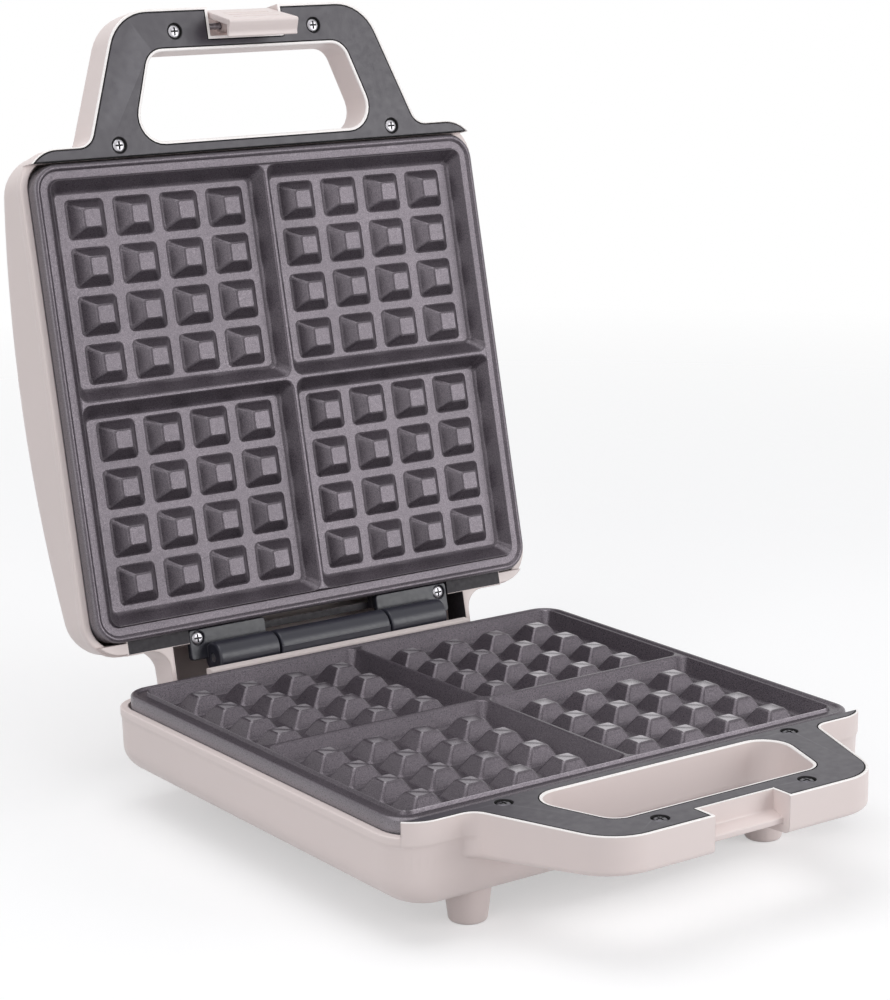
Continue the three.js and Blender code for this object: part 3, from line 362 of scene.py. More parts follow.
class Finish:
    """A Principled material with its texture nodes, in object coordinates (metres)."""

    def __init__(self, name):
        self.material = bpy.data.materials.new(name)
        self.material.use_nodes = True
        self.tree = self.material.node_tree
        self.tree.nodes.clear()
        self.output = self.add("ShaderNodeOutputMaterial")
        self.shader = self.add("ShaderNodeBsdfPrincipled")
        self.link(self.shader.outputs["BSDF"], self.output.inputs["Surface"])
        self.where = self.add("ShaderNodeTexCoord").outputs["Object"]

    def add(self, kind, **values):
        node = self.tree.nodes.new(kind)
        for key, value in values.items():
            setattr(node, key, value)
        return node

    def link(self, a, b):
        self.tree.links.new(a, b)

    def set(self, **values):
        for key, value in values.items():
            self.shader.inputs[key.replace("_", " ")].default_value = value
        return self

    def noise(self, scale, detail=2.0, rough=0.5):
        node = self.add("ShaderNodeTexNoise")
        self.link(self.where, node.inputs["Vector"])
        node.inputs["Scale"].default_value = scale
        node.inputs["Detail"].default_value = detail
        node.inputs["Roughness"].default_value = rough
        return node.outputs["Fac"]

    def cells(self, scale):
        node = self.add("ShaderNodeTexVoronoi")
        self.link(self.where, node.inputs["Vector"])
        node.inputs["Scale"].default_value = scale
        return node.outputs["Distance"]

    def span(self, value, low, high, out_low, out_high):
        node = self.add("ShaderNodeMapRange")
        self.link(value, node.inputs["Value"])
        for key, number in (("From Min", low), ("From Max", high), ("To Min", out_low), ("To Max", out_high)):
            node.inputs[key].default_value = number
        return node.outputs["Result"]

    def blend(self, factor, a, b):
        node = self.add("ShaderNodeMix", data_type="RGBA")
        self.link(factor, node.inputs[0])
        for socket, colour in ((node.inputs[6], a), (node.inputs[7], b)):
            if isinstance(colour, tuple):
                socket.default_value = colour
            else:
                self.link(colour, socket)
        return node.outputs[2]

    def edges(self, low=0.52, high=0.62):
        return self.span(self.add("ShaderNodeNewGeometry").outputs["Pointiness"], low, high, 0.0, 1.0)

    def colour(self, socket):
        self.link(socket, self.shader.inputs["Base Color"])

    def roughness(self, socket):
        self.link(socket, self.shader.inputs["Roughness"])

    def bump(self, height, distance, strength=1.0, after=None):
        node = self.add("ShaderNodeBump")
        self.link(height, node.inputs["Height"])
        node.inputs["Distance"].default_value = distance
        node.inputs["Strength"].default_value = strength
        if after is not None:
            self.link(after, node.inputs["Normal"])
        return node.outputs["Normal"]

    def normal(self, socket):
        self.link(socket, self.shader.inputs["Normal"])

    def soft_edge(self, radius):
        node = self.add("ShaderNodeBevel", samples=4)
        node.inputs["Radius"].default_value = radius
        return node.outputs["Normal"]


def shell_finish():
    f = Finish("blush_shell")
    broad = f.span(f.noise(9.0, 3.0), 0.3, 0.7, 0.0, 1.0)
    tint = f.blend(broad, linear(232, 218, 215), linear(227, 214, 211))
    # Painted highlight: convex edges, found by pointiness, lightened towards pale pink.
    edge_highlight = f.span(f.edges(0.51, 0.60), 0.0, 1.0, 0.0, 0.35)
    f.colour(f.blend(edge_highlight, tint, linear(240, 230, 228)))
    f.roughness(f.span(f.noise(240.0, 4.0), 0.3, 0.7, 0.34, 0.44))
    f.set(IOR=1.5)
    grain = f.bump(f.noise(2600.0, 2.0), 0.00002, 0.35, f.soft_edge(0.0007))
    f.normal(grain)
    return f.material


def cover_finish():
    f = Finish("charcoal_cover")
    broad = f.span(f.noise(30.0, 3.0), 0.3, 0.7, 0.0, 1.0)
    tint = f.blend(broad, linear(46, 41, 50), linear(53, 48, 57))
    # Painted highlight: convex edges, found by pointiness, lightened towards mid grey.
    edge_highlight = f.span(f.edges(0.51, 0.58), 0.0, 1.0, 0.0, 0.5)
    f.colour(f.blend(edge_highlight, tint, linear(92, 89, 96)))
    f.roughness(f.span(f.noise(300.0, 4.0), 0.3, 0.7, 0.33, 0.43))
    f.set(IOR=1.5)
    f.normal(f.bump(f.noise(3200.0, 2.0), 0.00002, 0.4, f.soft_edge(0.0004)))
    return f.material


def plate_finish():
    f = Finish("non_stick_plate")
    speck = f.span(f.noise(2400.0, 3.0, 0.7), 0.44, 0.60, 0.0, 1.0)
    tint = f.blend(speck, linear(74, 68, 75), linear(112, 104, 111))
    broad = f.span(f.noise(24.0, 3.0), 0.3, 0.7, 0.0, 0.3)
    tint = f.blend(broad, tint, linear(58, 53, 59))
    # Painted highlight: the plate's convex edges, found by pointiness, lightened towards pale grey.
    edge_highlight = f.span(f.edges(0.52, 0.60), 0.0, 1.0, 0.0, 0.6)
    f.colour(f.blend(edge_highlight, tint, linear(206, 201, 206)))
    f.roughness(f.span(f.noise(1800.0, 3.0), 0.35, 0.65, 0.26, 0.4))
    f.set(Metallic=0.45, IOR=1.5)
    f.normal(f.bump(f.noise(2200.0, 3.0, 0.6), 0.00003, 0.5))
    return f.material


def hinge_finish():
    f = Finish("blue_black_hinge")
    broad = f.span(f.noise(60.0, 3.0), 0.3, 0.7, 0.0, 1.0)
    tint = f.blend(broad, linear(24, 24, 33), linear(30, 30, 40))
    # Painted highlight: convex edges, found by pointiness, lightened towards a blue grey.
    edge_highlight = f.span(f.edges(0.51, 0.58), 0.0, 1.0, 0.0, 0.5)
    f.colour(f.blend(edge_highlight, tint, linear(70, 70, 82)))
    f.roughness(f.span(f.noise(500.0, 3.0), 0.3, 0.7, 0.32, 0.42))
    f.set(IOR=1.5)
    f.normal(f.bump(f.noise(3000.0, 2.0), 0.00002, 0.4, f.soft_edge(0.0004)))
    return f.material


def metal_finish(name, colour_a, colour_b, low, high, scale=700.0, bump=0.00001):
    f = Finish(name)
    mix = f.span(f.noise(scale, 3.0), 0.35, 0.65, 0.0, 1.0)
    f.colour(f.blend(mix, linear(*colour_a), linear(*colour_b)))
    f.roughness(f.span(f.noise(scale * 1.7, 3.0), 0.35, 0.65, low, high))
    f.set(Metallic=1.0)
    f.normal(f.bump(f.noise(scale * 2.5, 2.0), bump, 0.5))
    return f.material


def plain_finish(name, colour_a, colour_b, low, high, scale=400.0, bump=0.00003):
    f = Finish(name)
    mix = f.span(f.noise(scale, 3.0), 0.3, 0.7, 0.0, 1.0)
    f.colour(f.blend(mix, linear(*colour_a), linear(*colour_b)))
    f.roughness(f.span(f.noise(scale * 1.5, 3.0), 0.3, 0.7, low, high))
    f.normal(f.bump(f.noise(scale * 4, 2.0), bump, 0.5))
    return f.material


def lens_finish(name, colour_a, colour_b):
    f = Finish(name)
    ribs = f.span(f.cells(900.0), 0.0, 0.6, 0.0, 1.0)
    f.colour(f.blend(ribs, linear(*colour_a), linear(*colour_b)))
    f.roughness(f.span(f.noise(500.0), 0.3, 0.7, 0.08, 0.16))
    f.set(Transmission_Weight=0.35, IOR=1.49)
    f.normal(f.bump(f.noise(1200.0), 0.00002, 0.4))
    return f.material


SHELL = shell_finish()
COVER = cover_finish()
PLATE = plate_finish()
HINGE = hinge_finish()
SCREW = metal_finish("screw_head", (186, 184, 188), (168, 166, 171), 0.3, 0.42)
STEEL = metal_finish("plain_steel", (190, 190, 196), (168, 168, 176), 0.28, 0.4)
# Painted shade: near black on the walls and floor of each screw's cross recess.
CROSS_SHADE = plain_finish("painted_cross_shade", (20, 19, 22), (14, 13, 15), 0.5, 0.65)
GAP_DARK = plain_finish("gap_shadow", (18, 16, 19), (12, 11, 13), 0.75, 0.9)
# Painted shade: near black on the lid's rear deck and the inside of its tongue behind the hinge.
HINGE_SHADE = plain_finish("painted_hinge_shade", (34, 29, 36), (28, 24, 30), 0.55, 0.7)
# Painted highlight: a near white tint on the shell's rims at the parting plane, for the light their edges
# catch.
RIM_HIGHLIGHT = plain_finish("painted_rim_highlight", (252, 248, 246), (248, 243, 241), 0.25, 0.35)
# Painted shade: a darker copy of the screw head finish, for the base's cover screws.
SCREW_SHADED = metal_finish("screw_head_shaded", (104, 102, 107), (88, 86, 92), 0.3, 0.42)
REFLECTOR = metal_finish("bright_sheet", (206, 206, 210), (190, 190, 196), 0.22, 0.34, 300.0)
CERAMIC = plain_finish("unglazed_ceramic", (233, 228, 218), (222, 214, 202), 0.6, 0.75)
RUBBER = plain_finish("gland_rubber", (34, 34, 38), (26, 26, 29), 0.6, 0.75)
RED_LENS = lens_finish("red_lens", (178, 34, 28), (150, 24, 20))
GREEN_LENS = lens_finish("green_lens", (44, 140, 66), (34, 116, 54))
LAMP_GLASS = lens_finish("lamp_glass", (240, 236, 226), (228, 224, 214))

# Sizes of the shells and handles
HALF_WIDTH, FRONT, BACK, CORNER = 121.7, 112.6, 112.7, 17.0
EDGE = 7.0
RIM = 3.3
DECK_INNER = 106.9
DECK_HALF = 118.5
BASE_REAR_HALF = 71.0
PARTING = 0.5
REAR_DECK_LID = 4.0
COVER_INNER = 107.1
COVER_THICK = 2.5
COVER_CORNER = CORNER - 0.8
HANDLE_REACH = 57.8
HANDLE_THICK = 20.0
BASE_FRONT_THICK, LID_FRONT_THICK = 16.3, 18.3
NOTCH_HALF = 18.9
LID_NOTCH_BACK, BASE_NOTCH_BACK, HOOK_BACK = -158.6, -162.4, -158.0
NOTCH_POCKET = 14.8
PIVOT_HOLE_HALF = 20.9
GRIP_RIM = 1.3
HANDLE_RIM = 1.5
GAP = 0.3
LIP_TOP = 9.6
LIP_WALL = 0.9
SCREW_BORE = 1.8
SCREW_ROOM = 3.7
SCREW_SEAT = PARTING + 1.3
PIN_BORE = 2.3
LATCH_HALF = 18.1
PLATE_HALF_X, PLATE_HALF_Y = 110.5, 98.8
DIVIDER_HALF = 0.9
PEG_PITCH_X, PEG_PITCH_Y = 24, 21.44
WELL_MIDDLE_X, WELL_MIDDLE_Y = 55.25, 49.4
KNUCKLE_HALF, LEAF_START, LEAF_BARREL_END, LEAF_END = 30, 30.75, 62.5, 71
LEAF_SCREW_X, LEAF_SCREW_Y, LEAF_SCREW_SEAT = 66.5, 110.6, 5.8
FOOT_X, FOOT_Y, FOOT_LOW = 77, 93.5, -52.7
GLAND_X, GLAND_DROP = 95.2, 23
LAMP_X, LAMP_Y = 9, -86


def shoulder(radius, inner, steps=10):
    """Corners that follow the shell's corner from its front down to y = -inner."""
    centre_x, centre_y = HALF_WIDTH - CORNER, FRONT - CORNER
    tip = math.asin((inner - centre_y) / radius)
    turns = [math.pi / 2 + (tip - math.pi / 2) * k / steps for k in range(steps + 1)]
    return [(centre_x + radius * math.cos(a), -centre_y - radius * math.sin(a), 0) for a in turns]


COVER_FRONT, COVER_ROOT = (65.5, -170.4), (87.2, -111.8)
cover_outline = mirrored_outline(
    [(*COVER_FRONT, 21), (*COVER_ROOT, 8.5), *shoulder(COVER_CORNER, COVER_INNER)])
grip_outline = mirrored_outline([(51.3, -152.6, 8.5), (64.9, -112.6, 11)])
screw_places = [(73.35, -112.2), (-73.35, -112.2), (37.2, -161.5), (-37.2, -161.5)]
screw_names = ["rear_right", "rear_left", "front_right", "front_left"]


def half_plan(half_width, front, back, radius, runs=14):
    """Right half of a rounded rectangle, from the front to the back."""
    points = []
    for turn in quarter(ARC):
        a = -math.pi / 2 + turn
        points.append((half_width - radius + radius * math.cos(a), -front + radius + radius * math.sin(a)))
    for k in range(1, runs):
        points.append((half_width, -front + radius + (front + back - 2 * radius) * k / runs))
    for a in quarter(ARC):
        points.append((half_width - radius + radius * math.cos(a), back - radius + radius * math.sin(a)))
    return np.array(points)


def full_ring(half, heights):
    right = np.column_stack([half, heights])
    left = (right * (-1, 1, 1))[::-1]
    return np.concatenate([right, left])


def level(z):
    return lambda y: np.full(len(y), z)


def shell_ring(inset_side, inset_end, height_of):
    radius = max(CORNER - inset_end, 2.5)
    half = half_plan(HALF_WIDTH - inset_side, FRONT - inset_end, BACK - inset_end, radius)
    return full_ring(half, height_of(half[:, 1]))


def lid_height(y, below=0.0):
    return 45 - below - 16.5 * (y / BACK) ** 2


# Lower rim of both shells as (inset, z), and of their cavities as (flare, height over EDGE)
LIP = [(0.9, 7.0), (0.45, 7.08), (0.12, 7.35), (0, 7.8), (0, 9.6), (0.05, 10.1), (0.15, 10.5), (0.3, 10.9),
       (0.42, 11.3), (0.5, 11.8), (0.6, 12.8)]
CAVITY_MOUTH = [(0.5, -1), (0.5, -0.1), (0.15, 0.15), (0, 0.6)]


def lid_outer():
    rings = [shell_ring(i, i, level(z)) for i, z in LIP]
    for a in quarter(12):
        inset = LIP_WALL + 10 * (1 - math.cos(a))
        rise = -10 * (1 - math.sin(a))
        rings.append(shell_ring(inset, inset, lambda y, r=rise: lid_height(y) + r))
    return loft(rings, "strips")


def lid_cavity():
    rings = [shell_ring(RIM + flare, RIM + flare, level(EDGE + z)) for flare, z in CAVITY_MOUTH]
    for a in quarter(6):
        inset = RIM + 7.5 * (1 - math.cos(a))
        rise = -7.5 * (1 - math.sin(a))
        rings.append(shell_ring(inset, inset, lambda y, r=rise: lid_height(y, 2.5) + r))
    return loft(rings, "strips")


def base_outer():
    rings = [shell_ring(i, i, level(z)) for i, z in LIP]
    for a in quarter(14):
        turn = 1 - math.cos(a)
        z = 37.6 - 14 * (1 - math.sin(a))
        rings.append(shell_ring(LIP_WALL + 18 * turn, LIP_WALL + 10 * turn, level(z)))
    return loft(rings, "strips")


def base_cavity():
    rings = [shell_ring(RIM + flare, RIM + flare, level(EDGE + z)) for flare, z in CAVITY_MOUTH]
    for a in quarter(6):
        turn = 1 - math.cos(a)
        z = 35.1 - 11.5 * (1 - math.sin(a))
        rings.append(shell_ring(RIM + 18 * turn, RIM + 10 * turn, level(z)))
    return loft(rings, "strips")


def thinned(solid, front_thick):
    """Lets a handle thin evenly towards its front."""
    v, faces = solid
    share = 1 - (1 - front_thick / HANDLE_THICK) * (-v[:, 1] - FRONT) / HANDLE_REACH
    out = v.copy()
    out[:, 2] = PARTING + (v[:, 2] - PARTING) * share
    return out, faces


def handle_plan(root_y, corner_radius):
    """The handle's outline, whose root runs into the shell's front wall at y = -root_y."""
    slope = (COVER_ROOT[0] - COVER_FRONT[0]) / (COVER_ROOT[1] - COVER_FRONT[1])
    side = HANDLE_RIM * math.hypot(1, slope)
    front_x = COVER_FRONT[0] + side - HANDLE_RIM * slope
    root_x = COVER_ROOT[0] + side - (root_y + COVER_ROOT[1]) * slope
    front = (front_x, COVER_FRONT[1] - HANDLE_RIM, 22.5)
    return mirrored_outline([front, (root_x, -root_y, 7.5), *shoulder(corner_radius, 103.0, 16)])


def handle_outer(front_thick):
    lip, wall = handle_plan(112.75, CORNER + 0.15), handle_plan(111.9, CORNER - 0.75)
    steps = soft_steps(PARTING, LIP_TOP, 0.5, 0)[:-1]
    steps += [(0, z) for z in (LIP_TOP, 10.2, 10.8, 11.4, 12.0)]
    steps += soft_steps(PARTING, HANDLE_THICK, 0, 3.0, 8)[1:]
    rings = []
    for offset, z in steps:
        t = min(1.0, max(0.0, (z - LIP_TOP) / 2.4))
        t = t * t * (3 - 2 * t)
        flat = offset_outline(lip * (1 - t) + wall * t, offset)
        rings.append(np.column_stack([flat, np.full(len(flat), z)]))
    obj = mesh_of("handle", thinned(loft(rings), front_thick))
    return cut(obj, block(-130, 130, -DECK_INNER, 0, PARTING - 1, HANDLE_THICK + 1))


def solid_from(obj):
    """Takes a mesh object back as points and faces, and removes it."""
    mesh = obj.data
    v = np.array([p.co for p in mesh.vertices], float).reshape(-1, 3)
    faces = [tuple(p.vertices) for p in mesh.polygons]
    bpy.data.objects.remove(obj)
    bpy.data.meshes.remove(mesh)
    return v, faces


def deck(half_x, front, back, face):
    """A flat strip between the plate and the shell's rim."""
    half = half_plan(HALF_WIDTH - LIP_WALL, FRONT - LIP_WALL, BACK - LIP_WALL, CORNER - LIP_WALL)
    plan = np.concatenate([half, (half * (-1, 1))[::-1]])
    steps = [(-0.4, face), (-0.1, face + 0.12), (0, face + 0.4), (0, EDGE + 3.5)]
    obj = mesh_of("deck", stepped(plan, steps))
    room = 130
    sides = [(-room, room, -room, front), (-room, room, back, room),
             (half_x, room, -room, room), (-room, -half_x, -room, room)]
    return solid_from(cut(obj, *(block(*side, -room, room) for side in sides)))


def recess(notch_back):
    """Room for the cover, with the rims round the grip and the notch left standing."""
    high = PARTING + COVER_THICK + GAP
    steps = flared(PARTING, high, 0.3, 0, 1, 3)[:-1] + [(0, high)]
    obj = mesh_of("recess", stepped(offset_outline(cover_outline, GAP), steps))
    rim = stepped(offset_outline(grip_outline, GRIP_RIM), [(0, -3), (0, high + 2)])
    notch = block(-NOTCH_HALF - GRIP_RIM, NOTCH_HALF + GRIP_RIM, -175, notch_back + GRIP_RIM, -3, high + 2)
    return solid_from(cut(obj, rim, notch))


def grip_cutter(front_thick):
    return thinned(stepped(grip_outline, flared(PARTING, HANDLE_THICK, 0.6, 3.0, 1.0, 6)), front_thick)


def base_notch():
    """The notch, its sloping shelf and the room for the latch's hook below it."""
    corners = [(BASE_NOTCH_BACK, -1, 0), (BASE_NOTCH_BACK, 8.6, 0.8),
               (-168.2, 10.6, 0.5), (-168.2, 12.9, 0.3),
               (HOOK_BACK, 12.9, 0.5), (HOOK_BACK, 22, 0), (-180, 22, 0), (-180, -1, 0)]
    return along_x(stepped(rounded_outline(corners, 4), [(0, -NOTCH_HALF), (0, NOTCH_HALF)]))


def lid_notch():
    pocket = block(-NOTCH_HALF, NOTCH_HALF, -180, LID_NOTCH_BACK, -1, NOTCH_POCKET)
    ends = [(0, -PIVOT_HOLE_HALF), (0, PIVOT_HOLE_HALF)]
    hole = along_x(stepped(circle(SCREW_BORE, PIVOT_Y, PIVOT_Z, 24), ends))
    return [pocket, hole]


TONGUE_SIDE, TONGUE_REAR, TONGUE_TOP = 82.5, HINGE_Y + 24.1, 25.0


def tongue_outer():
    plan = mirrored_outline([(103, 105, 0), (103, BACK, 0), (TONGUE_SIDE, BACK, 9), (TONGUE_SIDE, 128, 0),
                             (TONGUE_SIDE, TONGUE_REAR, 10)], 12)
    rings = []

    def ring(offset, height):
        flat = offset_outline(plan, offset)
        rings.append(np.column_stack([flat, height(flat[:, 1])]))

    def top_at(y):
        t = np.clip((123.5 - y) / (123.5 - BACK), 0, 1)
        return TONGUE_TOP + 3.0 * t * t * (3 - 2 * t)

    for offset, z in ((-0.6, REAR_DECK_LID), (-0.15, REAR_DECK_LID + 0.15), (0, REAR_DECK_LID + 0.6)):
        ring(offset, level(z))
    for inset, rise in reversed(arc(8.0, 9)):
        ring(-inset, lambda y, r=rise: top_at(y) - r)
    return loft(rings, "strips")


def tongue_hollow():
    plan = rounded_outline([(80, BACK - 0.2, 0), (80, TONGUE_REAR - 2.5, 7.5), (-80, TONGUE_REAR - 2.5, 7.5),
                            (-80, BACK - 0.2, 0)], 6)
    steps = [(0.5, REAR_DECK_LID - 1), (0.5, REAR_DECK_LID - 0.05), (0.15, REAR_DECK_LID + 0.15),
             (0, REAR_DECK_LID + 0.6), (0, 17)]
    steps += [(-5.5 * (1 - math.cos(a)), 17 + 5.5 * math.sin(a)) for a in quarter(6, 1)]
    return stepped(plan, steps)


def hinge_room():
    """Cuts for the leaves and the centre knuckle in the lid's rear deck."""
    front, back, reach = 105.9, 113.7, LEAF_END + GAP
    return [block(KNUCKLE_HALF, reach, front, back, 3, 7.8),
            block(-reach, -KNUCKLE_HALF, front, back, 3, 7.8),
            block(-KNUCKLE_HALF, KNUCKLE_HALF, front, back, 3, 11.5)]


def in_cover_gap(x, y, z):
    """Walls and floor of the recess, and the screw bores, which only the gap round the cover shows."""
    return (y < -113 or (y < -DECK_INNER and abs(x) < 96)) and 1.3 < z < 3.35


def on_highlit_rim(x, y, z):
    """The rims round the cover, the grip and the notch, whose edges carry a painted highlight."""
    return y < -DECK_INNER and z < 1.25


def cover_side(x, y, z):
    """The cover's rounded edges and sides, and its screw recesses."""
    return z > PARTING + 0.07


def in_hinge_shade_area(x, y, z):
    """The lid's rear deck and the inside of its tongue, which carry painted shade."""
    on_deck = DECK_INNER - 0.5 < y < BACK - 1.1 and 3.5 < z < 12 and abs(x) < 96
    inside = abs(x) < 80.1 and BACK - 0.9 < y < TONGUE_REAR - 2.4 and 4.3 < z < 19
    past_corner = math.hypot(max(abs(x) - 72.5, 0), max(y - TONGUE_REAR + 10, 0)) > 8.5
    return on_deck or (inside and not past_corner)


def screw_bores():
    return [stepped(circle(SCREW_BORE, x, y, 20), [(0, -1), (0, 12)]) for x, y in screw_places]


def lid_shell():
    obj = mesh_of("lid_shell_skin", lid_outer())
    join(obj, solid_from(handle_outer(LID_FRONT_THICK)), tongue_outer())
    cut(obj, lid_cavity())
    join(obj, deck(DECK_HALF, -FRONT, -DECK_INNER, PARTING))
    join(obj, deck(DECK_HALF, DECK_INNER, BACK, REAR_DECK_LID))
    cut(obj, recess(LID_NOTCH_BACK), grip_cutter(LID_FRONT_THICK), *lid_notch())
    cut(obj, tongue_hollow(), *hinge_room())
    lamps = [stepped(circle(3.3, x, LAMP_Y, 32), [(0, 20), (0, 50)]) for x in (LAMP_X, -LAMP_X)]
    cut(obj, *screw_bores(), *lamps)
    accents = [(RIM_HIGHLIGHT, on_highlit_rim), (GAP_DARK, in_cover_gap), (HINGE_SHADE, in_hinge_shade_area)]
    return piece(obj, "lid_shell_skin", to_lid, "lid", SHELL, ["lid_shell"], accents=accents)


def base_shell():
    obj = mesh_of("base_shell_skin", base_outer())
    reach_y, reach_z = TONGUE_REAR - HINGE_Y, REAR_DECK_LID - HINGE_Z
    rim_y = HINGE_Y + reach_y * math.cos(-OPEN) - reach_z * math.sin(-OPEN)
    rib = soft_block(-55, 55, 108, rim_y - GAP, 18.5, 27, 1.2, 1.5)
    join(obj, solid_from(handle_outer(BASE_FRONT_THICK)), rib)
    cut(obj, base_cavity())
    join(obj, deck(DECK_HALF, -FRONT, -DECK_INNER, PARTING))
    join(obj, deck(BASE_REAR_HALF, DECK_INNER, BACK, PARTING))
    gland_room = along_y(stepped(circle(5.3, GLAND_X, GLAND_DROP, 32), [(0, -118), (0, -100)]))
    cut(obj, recess(BASE_NOTCH_BACK), grip_cutter(BASE_FRONT_THICK), base_notch(), gland_room)
    cut(obj, *screw_bores())
    accents = [(RIM_HIGHLIGHT, on_highlit_rim), (GAP_DARK, in_cover_gap)]
    return piece(obj, "base_shell_skin", to_base, "base", SHELL, ["base_shell"], accents=accents)


def handle_cover(notch_back):
    high = PARTING + COVER_THICK
    obj = mesh_of("cover", stepped(cover_outline, soft_steps(PARTING, high, 0.5, 0, 4)))
    grip = stepped(offset_outline(grip_outline, GRIP_RIM + GAP), flared(PARTING, high, 0.5, 0, 1, 4))
    room = NOTCH_HALF + GRIP_RIM + GAP
    back = notch_back + GRIP_RIM + GAP
    corners = [(room, -180, 0), (room, back, 1.2), (-room, back, 1.2), (-room, -180, 0)]
    notch = stepped(rounded_outline(corners, 4), flared(PARTING, high, 0.4, 0, 1, 3))
    rooms = []
    for x, y in screw_places:
        steps = flared(PARTING, SCREW_SEAT, 0.3, 0, 1, 3)[:-1] + [(0, SCREW_SEAT)]
        rooms.append(stepped(circle(SCREW_ROOM, x, y, 40), steps))
        rooms.append(stepped(circle(SCREW_BORE, x, y, 20), [(0, 0), (0, 5)]))
    return cut(obj, grip, notch, *rooms)


# Plates


def plate():
    def ring(grow, z):
        flat = rounded_rectangle(PLATE_HALF_X + grow, PLATE_HALF_Y + grow, 4.5 + grow, 8)
        return np.column_stack([flat, np.full(len(flat), z)])

    profile = [(-0.7, 0.2), (-0.35, 0.23), (-0.1, 0.36), (0.02, 0.6), (0.45, 1.7), (0.62, 1.93), (0.95, 2.0),
               (3.75, 2.0), (4.1, 1.95), (4.35, 1.8), (4.95, 1.22), (5.3, 1.06), (5.7, 1.0), (6.1, 1.04),
               (6.5, 1.2), (6.95, 1.5), (7.2, 1.85), (7.3, 2.3), (7.3, 10.3)]
    obj = mesh_of("plate", loft([ring(g, z) for g, z in profile]))
    half_x, half_y = (PLATE_HALF_X - DIVIDER_HALF) / 2, (PLATE_HALF_Y - DIVIDER_HALF) / 2
    wells = []
    for side in (1, -1):
        for end in (1, -1):
            x, y = side * (DIVIDER_HALF + half_x), end * (DIVIDER_HALF + half_y)
            rings = []

            def well_ring(z, extra):
                t = max(0.0, (z - 0.2) / 7.6)
                radius = 4.5 - 1.5 * t + extra * 0.6
                flat = rounded_rectangle(half_x - 4.2 * t + extra, half_y - 5 * t + extra, radius, 7, x, y)
                rings.append(np.column_stack([flat, np.full(len(flat), z)]))

            well_ring(-1.0, 0.55)
            well_ring(0.1, 0.55)
            for a in quarter(5):
                well_ring(0.2 + 0.55 * (1 - math.cos(a)), 0.55 * (1 - math.sin(a)))
            for a in quarter(5):
                well_ring(6.3 + 1.5 * math.sin(a), -1.3 * (1 - math.cos(a)))
            wells.append(loft(rings))
    cut(obj, together(wells))
    pegs = []
    for side in (1, -1):
        for end in (1, -1):
            for column in range(4):
                for row in range(4):
                    x = side * WELL_MIDDLE_X + (column - 1.5) * PEG_PITCH_X
                    y = end * WELL_MIDDLE_Y + (row - 1.5) * PEG_PITCH_Y
                    pegs.append(peg(x, y))
    join(obj, together(pegs))
    return obj


def peg(x, y):
    rings = []

    def ring(z, extra, radius):
        t = (7.8 - z) / 6.6
        half_x = 9.3 - t * (9.3 - 4.325) + extra
        half_y = 8.5 - t * (8.5 - 4.3) + extra
        flat = rounded_rectangle(half_x, half_y, radius, 5, x, y)
        rings.append(np.column_stack([flat, np.full(len(flat), z)]))

    ring(8.3, 0.7, 2.6)
    ring(7.85, 0.7, 2.6)
    for a in quarter(4, 1):
        ring(7.8 - 0.9 * (1 - math.cos(a)), 0.7 * (1 - math.sin(a)), 2.5 - 0.5 * math.sin(a))
    ring(4.5, 0, 1.6)
    for a in quarter(4):
        ring(1.2 + 0.75 * (1 - math.sin(a)), -0.75 * (1 - math.cos(a)), 1.3 - 0.3 * (1 - math.cos(a)))
    return loft(rings[::-1])


# Small parts


def cross_screw(x, y, seat):
    top = seat - 1.1
    dome = [(0.01, top - 0.05), (1.2, top - 0.02), (2.1, top + 0.1), (2.7, top + 0.35),
            (2.95, top + 0.65), (3.0, seat), (1.5, seat), (1.5, seat + 8.7)]
    obj = mesh_of("screw", moved(lathe(dome, 40), x, y))
    arms = []
    for w, h in ((1.9, 0.42), (0.42, 1.9)):
        flat_top = rounded_rectangle(w, h, 0.2, 3, x, y)
        flat_low = rounded_rectangle(w * 0.55, h * 0.9 if h < w else h * 0.55, 0.15, 3, x, y)
        arms.append(loft([np.column_stack([flat_top, np.full(len(flat_top), top - 1)]),
                          np.column_stack([flat_top, np.full(len(flat_top), top + 0.1)]),
                          np.column_stack([flat_low, np.full(len(flat_low), top + 0.9)])]))
    return cut(obj, *arms)


def in_cross(at_x, at_y, seat):
    """Walls and floor of a screw's cross, which carry painted shade."""
    return lambda x, y, z: math.hypot(x - at_x, y - at_y) < 1.95 and seat - 0.98 < z < seat - 0.1


def screw(name, node, at, place, body, finish):
    x, y, seat = at
    piece(cross_screw(x, y, seat), name, place, body, finish, [node],
          accents=[(CROSS_SHADE, in_cross(x, y, seat))])


